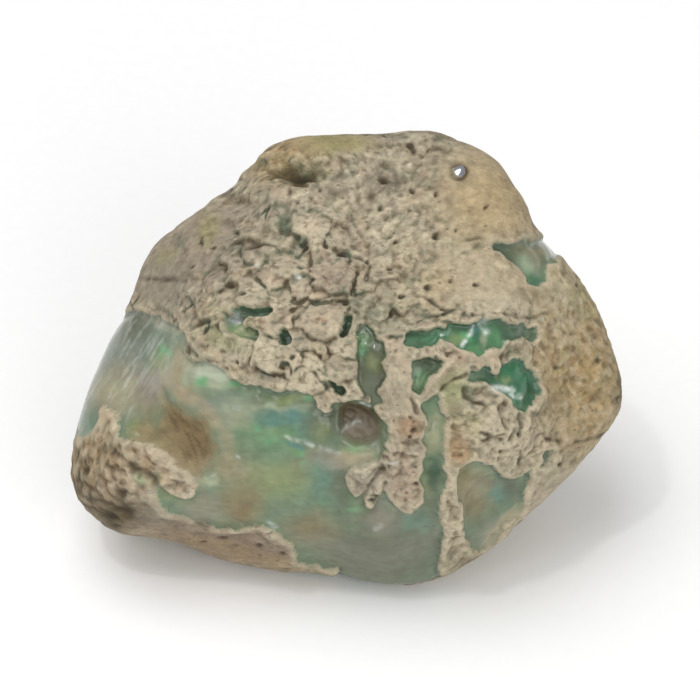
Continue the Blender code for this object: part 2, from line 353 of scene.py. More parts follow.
_, crumb_edge, crumb_random, _ = cells(CRUMB_SIZE, 47.0)
ragged = RAGGED * (uneven(0.8, 3.1) + 0.3 * uneven(0.45, 7.7) + 1.5 * (crumb_random - 0.5))
window_depth = np.max([depth_inside(outline) for outline in WINDOWS.values()], axis=0)
cleft_depth = np.max([depth_inside(outline) for outline in CLEFTS.values()], axis=0)
drawn_depth = np.maximum(window_depth + EDGE_BREAK, cleft_depth)
behind_depth = (uneven(BARE_PATCH_SIZE) - BARE_PATCH_LIMIT) * BARE_PATCH_SLOPE + 0.7 * uneven(2.2, 2.0)
left_side = rise(-across, 12.0, 16.0) * rise(up, -4.5, -2.0) * (1.0 - rise(up, 2.0, 4.5))
behind_depth = np.maximum(behind_depth, 1.6 * left_side - 0.8)
bare_depth = melted(drawn_depth * front + behind_depth * (1.0 - front) + ragged, BORDER_MELTING)
opal = rise(bare_depth, -0.10, 0.10)
rind = 1.0 - opal
print("share of the skin that is opal:", round(float(opal.mean()), 2))

# %% [markdown]
# The clay shrank as it dried and cracked into plates, like mud. Each plate is grown from a seed: its place
# and about half its width. Where two plates meet there is a gap, here open with crumbs on its floor, there
# closed. Each plate stands a little higher or lower than its neighbours and leans out at its lower edge,
# like a roof tile, and the biggest stand proud. Seeds are placed on the upper slope, where single
# plates can be told apart, and are scattered elsewhere.

# %%  Cracked plates
PLATE_SEEDS = (
    (-2.9, 10.4, 1.5), (-4.0, 9.4, 0.5), (-0.7, 9.6, 0.7), (-1.1, 11.5, 0.8), (-2.5, 12.2, 0.7),
    (-3.8, 13.2, 0.7), (-5.1, 13.5, 0.8), (-6.6, 13.9, 0.9), (-7.5, 10.2, 0.7), (-8.0, 11.5, 0.7),
    (-7.4, 8.6, 0.8), (-8.8, 8.1, 0.7), (-6.1, 9.4, 0.6), (-5.0, 7.8, 0.6), (-6.1, 6.2, 0.8),
    (-1.1, 7.0, 1.8), (1.1, 6.5, 0.9), (-3.8, 5.8, 0.7), (-5.2, 5.2, 0.8), (-7.2, 5.2, 1.3),
    (-9.3, 5.0, 0.8), (-10.7, 4.5, 0.7), (-2.2, 5.0, 0.5), (-2.2, 3.4, 1.8), (2.6, 7.2, 0.9),
    (0.6, 8.1, 0.6), (2.2, 10.0, 1.1), (0.5, 10.5, 0.7), (3.8, 10.0, 1.1), (4.1, 8.2, 0.8),
    (-0.4, 13.5, 0.8), (0.9, 14.5, 0.9), (3.1, 12.4, 0.8), (-0.4, 12.1, 0.7), (1.1, 11.8, 0.7),
    (-5.5, 3.4, 1.0), (-3.8, 1.9, 0.7), (-2.4, 1.4, 0.5), (-0.4, 1.6, 1.0), (-2.9, 0.7, 0.6),
    (-6.1, 0.8, 1.3), (-8.2, 1.2, 0.8), (-10.3, 1.8, 0.8), (-4.3, 0.8, 0.6), (-6.6, -1.1, 0.8),
    (-3.3, -1.1, 1.1), (-0.9, -0.1, 1.1), (0.1, -1.5, 0.7), (-2.2, -2.8, 0.6), (3.0, 5.7, 0.8),
    (4.1, 4.6, 0.7), (2.2, 4.2, 0.7), (3.4, 3.1, 0.8), (1.1, 4.8, 0.6), (4.9, 3.8, 0.7),
    (6.0, 4.6, 0.7), (3.1, 1.4, 0.8), (5.6, 3.3, 0.6), (-11.2, 7.6, 0.9), (-12.3, 6.1, 0.9),
    (-10.1, 6.8, 0.8), (-11.4, 9.4, 1.1), (-13.3, 5.0, 0.9), (-13.1, 7.8, 1.1), (-9.4, 9.8, 0.9),
    (-14.2, 3.4, 0.7), (-12.0, 3.1, 0.7),
)
GOLDEN = 0.618034
PLATE_THICKNESS = 0.20
PLATE_STEP = 0.28
CRUMB_HEIGHT = 0.12
PLATE_LEAN = 0.18
EDGE_ROUND = 0.15
BIG_PLATE = (0.95, 1.3)
BIG_PLATE_LIFT = 0.16
GAP_HALF = (-0.07, 0.13, 0.12)
GAP_BESIDE_BIG = 0.05
LOOSE_PLATE_SIZE = 1.55
PLATE_MELTING = 2


def lone_plates():
    """For every corner: distance to its plate's border, the plate's number, and how surely it is drawn."""
    bent_across, bent_up = strayed(0.34, 1.1, 11.0)
    bent_across = bent_across + 0.22 * uneven(0.45, 13.0)
    bent_up = bent_up + 0.22 * uneven(0.45, 19.0)
    gaps = np.array([
        np.hypot(bent_across - seed[0], bent_up - seed[1]) - 0.75 * seed[2] for seed in PLATE_SEEDS
    ])
    order = np.argsort(gaps, axis=0)[:2]
    nearest = np.take_along_axis(gaps, order, axis=0)
    sizes = np.array(PLATE_SEEDS)[order, 2]
    return 0.5 * (nearest[1] - nearest[0]), order[0], rise(-nearest[0], -0.8, -0.3) * seen, sizes


plate_edge, plate_number, drawn_plates, plate_sizes = lone_plates()
drawn = drawn_plates > 0.5
big_plate = rise(plate_sizes[0], *BIG_PLATE) * drawn
beside_big = rise(plate_sizes.max(axis=0), *BIG_PLATE) * drawn
plate_random = (plate_number * GOLDEN) % 1.0
loose_spots = places + 0.22 * uneven(0.5, 23.0)[:, None]
_, loose_edge, loose_random, loose_above = cells(LOOSE_PLATE_SIZE, 29.0, loose_spots)
above = np.where(drawn, np.array(PLATE_SEEDS)[plate_number, 1] - up, loose_above)
plate_edge = np.where(drawn, plate_edge, loose_edge)
plate_random = np.where(drawn, plate_random, loose_random)
gap_half = GAP_HALF[0] + GAP_HALF[1] * rise(uneven(1.3, 31.0), -0.1, 0.6) + GAP_HALF[2] * uneven(0.45, 33.0)
gap_half += GAP_BESIDE_BIG * beside_big
plate_gap = plate_edge - np.maximum(gap_half, -0.04)
plate_top = rise(plate_edge - gap_half, 0.0, EDGE_ROUND)
plate_height = PLATE_THICKNESS * (plate_top - 1.0)
plate_height += plate_top * (PLATE_STEP * (plate_random - 0.5) + PLATE_LEAN * np.clip(above, -1.2, 1.2))
plate_height += plate_top * BIG_PLATE_LIFT * big_plate
plate_height = melted(plate_height, PLATE_MELTING)
plate_height += (1.0 - plate_top) * CRUMB_HEIGHT * crumb_random * rise(crumb_edge, 0.0, 0.10)
print("plates drawn:", len(PLATE_SEEDS))

# %% [markdown]
# Single pits and cracks that catch the eye are drawn one by one. A pit is a steep little bowl, often where a
# grain fell out, and its floor is dark because light hardly reaches it: its row is its middle and half its
# width and height. A crack is its width and the line it follows. Broad ones run through, thin ones come and
# go, and pinpricks are scattered over all the clay.

# %%  Pits and long cracks
PITS = (
    (-3.9, 14.5, 1.50, 0.40), (-8.0, 5.4, 0.53, 0.30), (-9.2, 6.1, 0.53, 0.22), (-0.6, 8.5, 0.67, 0.30),
    (-1.9, 9.0, 0.45, 0.22), (-4.0, 12.4, 0.38, 0.22), (3.4, 9.2, 0.30, 0.30), (2.9, 7.3, 0.45, 0.30),
    (1.3, 7.8, 0.30, 0.30), (5.8, 5.9, 0.38, 0.38), (6.5, 9.8, 0.38, 0.38), (7.9, 10.2, 0.22, 0.22),
    (7.6, 6.4, 0.30, 0.38), (9.4, 6.1, 0.38, 0.22), (-4.3, 0.7, 0.30, 0.30), (-4.4, -0.4, 0.22, 0.45),
    (-7.3, 2.2, 0.38, 0.22), (-5.0, 2.1, 0.53, 0.30), (-0.4, 4.7, 0.30, 0.22), (3.1, 4.0, 0.30, 0.38),
    (4.0, 5.2, 0.38, 0.22), (9.2, 3.8, 0.22, 0.22), (4.7, -4.8, 0.45, 0.38), (2.6, -6.8, 0.30, 0.38),
    (11.2, -6.4, 0.30, 0.22), (11.5, -4.1, 0.16, 0.60), (12.6, -5.1, 0.22, 0.22),
    (12.7, -6.9, 0.16, 0.50), (13.3, -8.5, 0.30, 0.60), (7.3, -3.8, 0.30, 0.22), (7.7, -6.6, 0.26, 0.16),
    (15.5, -0.1, 0.38, 0.30), (18.6, 0.4, 0.30, 0.30), (17.0, 6.1, 0.22, 0.22), (20.0, -2.4, 0.30, 0.45),
    (15.7, -7.4, 0.38, 0.22), (-9.6, -12.9, 0.62, 0.24), (-6.0, -12.4, 0.40, 0.12),
    (-6.8, -13.5, 0.30, 0.24), (-5.1, -14.1, 0.34, 0.22), (-6.8, -14.3, 0.22, 0.22),
    (-11.0, -13.2, 0.26, 0.15), (-4.4, -14.6, 0.20, 0.14), (-19.9, -7.2, 0.20, 0.34),
    (-20.4, -8.5, 0.22, 0.36), (-18.4, -11.3, 0.60, 0.22), (-17.6, -12.0, 0.60, 0.22),
    (-17.7, -7.9, 0.34, 0.12), (-18.6, -3.7, 0.14, 0.45), (-17.5, -3.5, 0.16, 0.36),
    (-18.0, -11.3, 0.85, 0.60), (-17.0, -9.5, 0.34, 0.75), (-19.8, -7.8, 0.50, 0.45),
    (2.8, -6.8, 0.26, 0.30), (2.9, -7.5, 0.24, 0.18), (2.7, -4.9, 0.22, 0.26), (4.5, -5.3, 0.34, 0.26),
    (4.2, -9.4, 0.16, 0.16), (5.0, -8.7, 0.26, 0.20), (9.1, 3.9, 0.20, 0.14), (7.6, 3.6, 0.22, 0.14),
    (6.9, 4.2, 0.50, 0.16), (-9.4, 1.1, 0.30, 0.22), (-8.4, 0.3, 0.22, 0.22), (-10.7, 1.5, 0.45, 0.15),
    (-14.4, 3.3, 0.22, 0.45), (-13.0, 3.4, 0.22, 0.22), (-11.8, 7.4, 0.38, 0.22), (-9.3, 7.3, 0.38, 0.15),
    (-11.1, 9.3, 0.22, 0.60), (-10.2, 8.8, 0.30, 0.22), (2.5, 13.9, 0.60, 0.34), (4.6, 13.2, 0.30, 0.45),
    (2.3, 11.8, 0.30, 0.30), (6.4, 12.8, 0.30, 0.38), (10.2, 12.0, 0.30, 0.22), (-0.3, 2.5, 0.38, 0.30),
    (-2.2, 13.2, 0.22, 0.22), (-8.5, 10.0, 0.38, 0.22), (4.5, -3.8, 0.22, 0.22),
)
LONG_CRACKS = {
    "plate seam": (
        0.12, (3.8, 5.2), (5.6, 5.2), (6.8, 4.3), (9.0, 3.8), (11.2, 4.0), (13.5, 3.6), (14.6, 4.0)),
    "end crack": (0.12, (14.8, -5.5), (16.5, -5.8), (18.0, -5.5), (19.1, -5.1)),
    "lump crack": (0.24, (-18.0, -6.1), (-16.9, -7.0), (-16.1, -7.6), (-14.8, -8.3), (-14.2, -9.1)),
    "lump ledge": (0.16, (-19.5, -9.9), (-18.8, -10.1), (-17.9, -10.3)),
    "lump slit": (0.16, (-17.4, -9.4), (-17.1, -10.0), (-16.9, -10.5)),
    "lump fold": (0.12, (-17.9, -7.6), (-17.5, -7.6), (-17.1, -7.9)),
    "lump foot": (0.16, (-17.6, -10.7), (-17.0, -10.8), (-16.4, -11.2)),
    "step lip": (0.12, (8.4, 9.4), (9.6, 9.6), (10.3, 9.2), (11.2, 8.9), (11.6, 8.2), (12.9, 7.2)),
    "shelf crack": (0.12, (-7.9, 8.9), (-6.6, 9.2), (-5.6, 9.0)),
    "leaf crack": (0.12, (-11.8, 2.9), (-10.9, 3.3), (-10.3, 3.4), (-8.6, 4.0)),
    "notch": (0.12, (-15.8, 6.6), (-14.2, 6.5), (-13.3, 6.5), (-12.3, 6.4)),
    "long crack": (0.12, (-2.4, 9.1), (-0.4, 8.6), (0.8, 8.1), (1.5, 7.5), (1.2, 6.5)),
    "rosette top": (0.12, (-4.1, 3.6), (-3.0, 4.8), (-1.8, 5.2), (-0.4, 5.4), (0.9, 5.3)),
    "cleft crack": (0.12, (-2.7, -0.4), (-2.2, -1.1), (-1.3, -1.3)),
    "arm shadow": (0.10, (6.0, -2.6), (6.9, -1.8), (7.9, -1.0), (8.8, -0.6)),
    "pillar side": (0.12, (4.6, -1.2), (4.6, -2.4), (5.0, -3.4)),
    "cluster slit": (0.12, (11.3, -3.2), (11.4, -3.9), (11.6, -4.6)),
    "cluster gap": (0.14, (12.6, -3.6), (12.8, -4.4), (12.7, -5.2)),
    "cluster seam": (0.14, (9.8, -4.9), (10.5, -5.2), (11.3, -5.4)),
    "cluster foot": (0.14, (12.8, -6.4), (12.6, -7.3)),
    "cluster bend": (0.14, (8.7, -1.6), (8.8, -2.3), (9.4, -2.7), (10.1, -2.9)),
    "rust crack": (0.11, (7.6, -5.4), (7.3, -6.2), (7.9, -6.6), (8.3, -6.6)),
    "rib seam": (0.14, (10.0, -5.6), (10.6, -5.3), (11.4, -5.0)),
    "crust seam": (0.13, (0.9, -9.6), (1.4, -8.9), (1.9, -8.3), (2.6, -7.7)),
    "crust groove": (0.14, (2.5, -9.5), (2.5, -9.0), (2.7, -8.7)),
    "bowl ridge": (0.12, (-13.9, -1.6), (-13.6, -2.6), (-12.9, -3.1), (-12.0, -3.8)),
    "strip slit": (0.14, (-11.5, -11.6), (-10.6, -12.0)),
}
THIN_CRACK = 0.13
PIT_WORN = 0.66
PIT_SHARPNESS = 3.5

pit_spots = strayed(0.16, 0.5, 35.0)
pit = np.zeros(corner_count)
pit_depth = np.zeros(corner_count)
for pit_across, pit_up, half_across, half_up in PITS:
    patch = (pit_across, pit_up, half_across * PIT_WORN, half_up * PIT_WORN)
    hole = blob(patch, PIT_SHARPNESS, pit_spots)
    pit = np.maximum(pit, hole)
    pit_depth = np.maximum(pit_depth, hole * (0.08 + 0.50 * min(half_across, half_up)))
wander = 0.14 * uneven(0.8, 37.0)
crack = np.zeros(corner_count)
broken = 0.35 + 0.65 * rise(uneven(1.4, 38.0), -0.3, 0.15)
for width, *line in LONG_CRACKS.values():
    whole = np.exp(-((gap_to_line(line) + wander) / width) ** 2) * seen
    crack = np.maximum(crack, whole if width > THIN_CRACK else whole * broken)
hole_near, _, hole_random, _ = cells(1.0, 39.0)
pinprick = np.exp(-(hole_near / (0.06 + 0.10 * hole_random)) ** 3) * rise(uneven(2.6, 41.0), -0.05, 0.45)
print("pits drawn:", len(PITS))

# %% [markdown]
# The rind isn't the same everywhere. The top middle is rubble, the dome and the plate below it are smooth
# clay, the far left slope is worn, the end is gritty, the cluster and the crust are swollen lobes, and the
# lower left lump is gnarled like bark. Each kind has its own mix of lumps, and soft patches say where it
# rules. Here and there a patch lies lower, where a flake has gone.

# %%  Kinds of rind
KINDS = {
    "rubble": ((3.8, 9.2, 3.4, 4.8), (2.4, 14.6, 4.2, 1.6), (-0.6, 13.0, 2.4, 2.4)),
    "smooth": ((10.6, 13.4, 4.2, 4.6, -35), (9.6, 6.4, 4.8, 2.1, -12), (-14.8, 6.8, 1.8, 2.4, 35),
               (-1.4, 16.8, 3.4, 0.8), (7.9, -2.0, 1.1, 1.6),
               (-10.6, -13.0, 7.4, 1.7, -14), (-14.6, -11.0, 2.8, 1.2, -12),
               (14.6, -9.4, 1.4, 2.6, -45)),
    "gritty": ((17.8, 0.6, 3.6, 8.0, 8),),
    "swollen": ((3.9, -1.6, 1.5, 3.4), (7.3, -0.4, 2.8, 0.9, 38), (10.3, 0.6, 1.0, 1.2)),
    "lobed": ((4.2, -7.6, 1.6, 3.6), (0.6, -8.8, 1.2, 1.2), (7.9, -5.8, 1.1, 1.8),
              (7.9, -12.3, 1.0, 4.4)),
    "knobbly": ((11.4, -4.6, 2.4, 4.0), (12.4, -6.4, 1.8, 1.8)),
    "worn": ((-12.4, 9.0, 4.6, 2.4, 38),),
    "gnarled": ((-18.4, -8.4, 3.4, 4.2), (-14.6, -6.8, 3.8, 1.4, -38), (-12.0, -8.9, 1.9, 1.0, -20)),
}
SUNKEN = (
    (7.9, -2.2, 1.4, 1.9), (4.6, -6.8, 1.3, 1.3), (11.9, 1.0, 0.9, 0.6), (-3.8, 14.5, 2.0, 0.8),
    (-4.9, 10.8, 0.6, 0.9), (-3.9, 9.2, 0.5, 0.8),
)
SUNKEN_DEPTH = 0.34
FLAKE_TURN = -38.0
FLAKE_LENGTH = 0.60
FLAKE_WIDTH = 0.26
LOBE_RADIUS = 0.76


def billow(size, shift):
    """Round lumps with sharp creases between them, from about 0 in a crease to 1 on a lump."""
    return np.minimum(1.0, 2.6 * np.abs(uneven(size, shift)))


def crumbs(edge):
    """Crumbs of random height, up or down, with a steep edge of the given width."""
    return (crumb_random - 0.5) * rise(crumb_edge, 0.0, edge)


def where_any(patches):
    """Firm-edged patches joined into one mask."""
    return np.max([blob(patch, 5.0, kind_spots) for patch in patches], axis=0)


kind_spots = strayed(0.5, 1.3, 45.0)
kinds = {kind: where_any(patches) for kind, patches in KINDS.items()}
kinds["smooth"] = np.maximum(kinds["smooth"], (1.0 - front) * rise(uneven(5.0, 49.0), -0.15, 0.15))
kinds["gritty"] = np.maximum(kinds["gritty"], (1.0 - front) * rise(uneven(4.0, 50.0), 0.0, 0.25))
plated = np.clip(1.0 - sum(kinds.values()), 0.0, 1.0)
print("kinds of rind:", ", ".join(kinds))

# %% [markdown]
# Each kind's lumps are built from a few simple forms. Billows are round with sharp creases, as clay swells.
# Domes over scattered points are the lobes of the crust. Crumbs are what a break leaves. Flakes are long
# narrow noise, laid along the grain of the gnarled lump. Heights are in millimetres.

# %%  Lumps of the rind
lobe_near, lobe_edge, _, _ = cells(1.0, 53.0, places + 0.30 * uneven(0.7, 51.0)[:, None])
lobe_dome = np.sqrt(np.clip(1.0 - (lobe_near / LOBE_RADIUS) ** 2, 0.0, 1.0))
bark = billow(1.5, 67.0)
flake_along, flake_aside = turned((across, up), FLAKE_TURN)
flakes = noise_at(np.stack([
    flake_along / FLAKE_LENGTH + 0.7 * uneven(0.8, 60.0),
    flake_aside / FLAKE_WIDTH + 0.9 * uneven(0.6, 62.0),
    toward_eye / FLAKE_LENGTH], axis=1))
LUMPS = {
    "rubble": 0.15 * crumbs(0.10) + 0.09 * billow(0.9, 65.0),
    "gritty": 0.07 * rise(crumb_edge, 0.0, 0.14) + 0.12 * (billow(0.7, 64.0) - 0.5),
    "lobed": 0.26 * (lobe_dome - 0.65) + 0.24 * crumbs(0.12),
    "knobbly": 0.16 * (lobe_dome - 0.65) + 0.16 * (billow(0.9, 66.0) - 0.5) + 0.22 * crumbs(0.12),
    "gnarled": 0.12 * (bark - 0.5) + 0.10 * (billow(0.7, 69.0) - 0.5) + 0.15 * flakes + 0.26 * crumbs(0.10),
}
calmer = 1.0 - 0.75 * kinds["smooth"] - 0.4 * kinds["swollen"] - 0.5 * plated
lumps = calmer * (0.07 * billow(1.3, 59.0) + 0.05 * billow(0.55, 61.0)) + 0.12 * uneven(2.2, 63.0)
lumps -= SUNKEN_DEPTH * where_any(SUNKEN)
for kind, relief in LUMPS.items():
    lumps += kinds[kind] * relief
plate_share = plated + 0.50 * kinds["rubble"] + 0.08 * kinds["smooth"] + 0.30 * kinds["worn"]
plate_share = np.clip(plate_share, 0.0, 1.0)
print("lumps, mm:", round(float(lumps.min()), 2), "to", round(float(lumps.max()), 2))

# %% [markdown]
# The opal itself is glassy and breaks in shells, so a window is smooth with slow swells. The face at the far
# left is scored with long scratches, the brown bowl is a dimple with a fibrous floor, the pocket in the
# middle is a burst bubble with a rim, and one bead stands clear of the dome. Small ridges are raised in the
# glass and the clay, and each carries a white painted glint: its row is its width, its strength and its
# line. The scratches and the streaks of the far left face carry a painted sheen. A thin film of clay still
# clings to the opal in a few places: its row is its pigment, its strength and its patch.

# %%  Lumps of the opal
SCRATCHES = (
    ((-13.3, 4.0), (-14.2, 2.7), (-15.1, 1.5), (-15.8, 0.4), (-16.3, -0.5), (-17.1, -1.9)),
    ((-12.8, 3.6), (-13.5, 2.7), (-14.3, 1.6), (-15.0, 0.3), (-15.7, -0.7)),
    ((-13.9, 3.7), (-14.6, 2.7), (-15.4, 1.6), (-16.2, 0.2)),
)
SCRATCH_WIDTH = 0.08
FACET = (
    (-21.8, 4.0), (-16.3, 4.6), (-13.6, 3.6), (-14.2, 0.2), (-15.4, -2.2), (-18.0, -2.8), (-21.8, -3.0),
)
STREAK_TURN = 57.0
STREAK_LENGTH = 2.6
STREAK_WIDTH = 0.20
BOWL = (
    (-13.9, -1.1), (-13.7, -2.2), (-12.9, -2.8), (-12.0, -3.5), (-10.9, -3.4), (-10.4, -4.1), (-10.3, -5.2),
    (-9.6, -6.0), (-9.6, -6.9), (-10.8, -7.8), (-11.5, -8.8), (-12.4, -9.2), (-14.0, -8.2), (-15.5, -7.4),
    (-17.0, -6.4), (-16.7, -4.6), (-15.7, -4.1), (-14.4, -4.2), (-14.2, -3.3), (-14.4, -2.2),
)
GLINT_RIDGES = (
    (0.10, 0.9, (9.4, 3.1), (8.9, 2.3), (8.3, 1.4)), (0.08, 0.7, (9.2, 2.6), (8.7, 1.9), (8.5, 1.5)),
    (0.32, 0.4, (10.0, 3.3), (10.3, 2.7)), (0.13, 0.8, (9.8, 3.2), (10.2, 2.5)),
    (0.26, 1.0, (10.7, -1.6), (12.1, -1.7)), (0.22, 1.0, (12.7, -2.2), (12.8, -2.3)),
    (0.14, 0.7, (12.2, -2.1), (12.4, -2.3)), (0.14, 0.9, (14.2, 3.5), (14.3, 3.5)),
    (0.16, 0.9, (-4.1, 6.8), (-3.8, 6.7)), (0.14, 0.6, (-7.0, 7.6), (-6.9, 7.7)),
    (0.13, 0.45, (-4.9, -5.2), (-3.8, -5.6), (-2.8, -5.9)), (0.18, 0.25, (-2.2, -6.0), (-0.9, -6.5)),
    (0.16, 0.45, (-0.5, -5.0), (0.4, -4.4), (0.9, -4.4)), (0.15, 0.5, (0.8, -2.7), (1.4, -2.9)),
    (0.14, 0.5, (2.6, -7.2), (3.6, -7.2)), (0.18, 0.5, (-8.6, -3.1), (-8.3, -3.1)),
    (0.14, 0.4, (-8.5, -6.7), (-8.4, -6.8)), (0.20, 0.5, (-6.2, -11.9), (-5.6, -12.1)),
    (0.20, 0.30, (1.9, -12.2), (2.3, -12.0)), (0.13, 0.5, (-10.8, -8.4), (-10.2, -8.1)),
    (0.12, 0.5, (-16.3, -5.0), (-16.2, -5.1)),
)
FILMS = (
    ("olive clay", 0.4, 0.4, -7.0, 1.8, 0.7), ("grey clay", 0.6, -13.6, 3.3, 2.2, 0.7, -25),
    ("clay film", 0.7, 11.7, -12.0, 2.6, 0.55, 47), ("grey clay", 0.3, 4.4, -11.0, 1.0, 0.4, 20),
    ("olive clay", 0.5, -12.4, 1.2, 0.8, 1.4),
)
POCKET = ((-0.9, -3.0), (-0.2, -2.7), (0.9, -2.8), (1.9, -3.5), (2.5, -4.5), (2.4, -5.4), (1.6, -5.9),
          (0.4, -6.1), (-0.6, -5.6), (-0.9, -4.5))
BEAD = (8.15, 14.6)
BEAD_SIZE = 0.46
BOWL_DIP = 0.45


def near_lines(lines):
    """How near each corner is to any of some lines, each with its own width and strength."""
    near = np.zeros(corner_count)
    for width, strength, *line in lines:
        gap = gap_to_line(line) + waver
        near = np.maximum(near, strength * np.exp(-np.abs(gap / width) ** 3) * seen)
    return near


waver = 0.10 * uneven(0.45, 72.0)
facet = rise(depth_inside(FACET), -0.5, 0.6) * seen
streak_along, streak_aside = turned((across, up), STREAK_TURN)
streaks = noise_at(np.stack([
    -streak_aside / STREAK_WIDTH, streak_along / STREAK_LENGTH, np.full(corner_count, 9.0)], axis=1))
scratch_and_sheen = near_lines([(SCRATCH_WIDTH, 1.0, *line) for line in SCRATCHES])
# The facet's streaks join the scratches; both are painted white later, as a painted sheen.
scratch_and_sheen = np.maximum(scratch_and_sheen * rise(uneven(1.5, 70.0), -0.5, 0.1), 0.6 * facet * rise(streaks, 0.08, 0.35))
glint_ridge = near_lines(GLINT_RIDGES) * (0.3 + 0.7 * rise(uneven(0.40, 74.0), -0.45, 0.20))
film = np.max([strength * blob(patch, 4.0) for _, strength, *patch in FILMS], axis=0)
bowl_depth = depth_inside(BOWL)
bowl_floor = rise(bowl_depth + 0.35 * uneven(1.2, 91.0) + 0.2 * uneven(0.5, 92.0), -0.45, 0.95) * seen
fibres = noise_at(np.stack([
    (across + 0.5 * up) / 0.28, (up - 0.3 * across) / 1.3, np.full(corner_count, 5.0)], axis=1))
glass = 0.10 * uneven(2.4, 71.0) + 0.035 * uneven(0.8, 73.0) + 0.05 * scratch_and_sheen + 0.10 * glint_ridge
glass += bowl_floor * (0.12 * fibres + 0.20 * billow(0.9, 93.0) - 0.12)
glass -= BOWL_DIP * rise(bowl_depth, -0.3, 2.0) * seen
pocket_depth = depth_inside(POCKET)
pocket = rise(pocket_depth, -0.1, 0.5) * seen
pocket_rim = np.exp(-((pocket_depth + 0.15) / 0.22) ** 2) * rise(across, -0.6, 0.8) * seen
bead_gap = np.hypot(across - BEAD[0], up - BEAD[1]) / BEAD_SIZE
bead = np.sqrt(np.clip(1.0 - bead_gap ** 2, 0.0, 1.0)) * seen
bead_socket = np.exp(-((bead_gap - 1.25) / 0.3) ** 2) * seen
print("scratches:", len(SCRATCHES), "chips:", len(GLINT_RIDGES), "films of clay:", len(FILMS))

# %% [markdown]
# Now the heights are added up. The solid steps down softly from rind to window over a millimetre, so the
# skin is raised on the rind's side of that edge and lowered on the opal's, which makes the step crisp. The
# small clefts between plates aren't in the solid at all, so they are sunk here, less where a film of clay
# bridges them. Right at the outline the relief is held back, so the stone keeps the outline of its solid.

# %%  Raise the relief
EDGE_REACH = 0.55
EDGE_STEP = 0.26
CLEFT_DEPTH = 0.38
CRACK_DEPTH = 0.20
PINPRICK_DEPTH = 0.12
POCKET_DEPTH = 0.60
POCKET_RIM = 0.16
BEAD_HEIGHT = 0.42
SOCKET_DEPTH = 0.10
GLINT_RIDGE_LIFT = 0.10
OUTLINE_CALM = (-0.15, 0.25)
OUTLINE_RELIEF = 0.35

height = np.exp(-(bare_depth / EDGE_REACH) ** 2) * EDGE_STEP * (rind - opal)
cleft = rise(cleft_depth + ragged, -0.05, 0.2) * rise(-window_depth, 0.0, 0.5) * seen
height -= CLEFT_DEPTH * cleft * (1.0 - 0.7 * film)
height += rind * (plate_height * plate_share + lumps - CRACK_DEPTH * crack - PINPRICK_DEPTH * pinprick)
height -= pit_depth * (0.3 + 0.7 * rind)
height += opal * glass + rind * GLINT_RIDGE_LIFT * glint_ridge
height += POCKET_RIM * pocket_rim - pocket * (POCKET_DEPTH + 0.16 * billow(0.7, 95.0))
height += BEAD_HEIGHT * bead - SOCKET_DEPTH * bead_socket
calm = rise(np.abs(directions @ np.array(OUT)), *OUTLINE_CALM)
height = melted(height * (OUTLINE_RELIEF + (1.0 - OUTLINE_RELIEF) * calm), 1)
skin_reach = pressed_flat(reach + height)
skin_places = (directions * skin_reach[:, None] + np.array(CORE)) * MM
skin_mesh.vertices.foreach_set("co", skin_places.ravel())
skin_mesh.update()
print("relief, mm:", round(float(height.min()), 2), "to", round(float(height.max()), 2))

# %% [markdown]
# Colour comes next, from a short palette. The clay is a dry grey-beige, paler where it is worn and browner
# where soil and iron got in. The opal is a milky grey-green, and its flashes run from grass green to teal.
# The codes are sRGB, as a colour picker gives them, and one function turns them into linear light, which is
# what a renderer mixes.

# %%  Pigments
CLEAR_GAIN = 1.22
PIGMENTS = {
    "dry clay": "#A79B84",
    "pale clay": "#BDB298",
    "grey clay": "#A69C8A",
    "rose clay": "#B59E88",
    "olive clay": "#9A937A",
    "buff clay": "#A8936C",
    "umber": "#4B3E24",
    "grey tuff": "#877F6F",
    "mauve tuff": "#8F8272",
    "olive stain": "#948D61",
    "iron stain": "#A3744B",
    "milky opal": "#73866B",
    "pearl opal": "#ABB294",
    "leaf flash": "#73A771",
    "emerald": "#347250",
    "deep green": "#3C5240",
    "teal flash": "#5F8B7F",
    "honey opal": "#7D6A47",
    "sand opal": "#8C8262",
    "smoke opal": "#676B57",
    "grey facet": "#868C80",
    "mirror grey": "#B8BAC4",
    "grass flash": "#6CA876",
    "deep teal": "#56857F",
    "moss opal": "#8F9A6B",
    "clay film": "#A89A7E",
    "lilac film": "#9C9386",
    "bruise white": "#DDE3DD",
}


def hex_linear(code):
    """An sRGB hex colour as linear red, green, blue and a full alpha."""
    channels = [int(code[place:place + 2], 16) / 255.0 for place in (1, 3, 5)]
    return [c / 12.92 if c <= 0.04045 else ((c + 0.055) / 1.055) ** 2.4 for c in channels] + [1.0]


def plain(pigment):
    """One pigment as red, green and blue."""
    return np.array(hex_linear(PIGMENTS[pigment])[:3])


def tinted(color, *tints):
    """A colour drawn toward one pigment after another, each by its own share at every corner."""
    for pigment, share in tints:
        color = color * (1.0 - share[:, None]) + plain(pigment) * share[:, None]
    return color


def stained(color, stains):
    """A colour with stains laid over it in turn: a pigment, its strength and its patch in each row."""
    for pigment, strength, *patch in stains:
        color = tinted(color, (pigment, strength * blob(patch, 3.0, stain_spots)))
    return color


stain_spots = strayed(0.40, 1.1, 75.0)
stain_spots = (stain_spots[0] + 0.20 * uneven(0.45, 76.0), stain_spots[1] + 0.14 * uneven(0.45, 78.0))
print("pigments:", len(PIGMENTS))
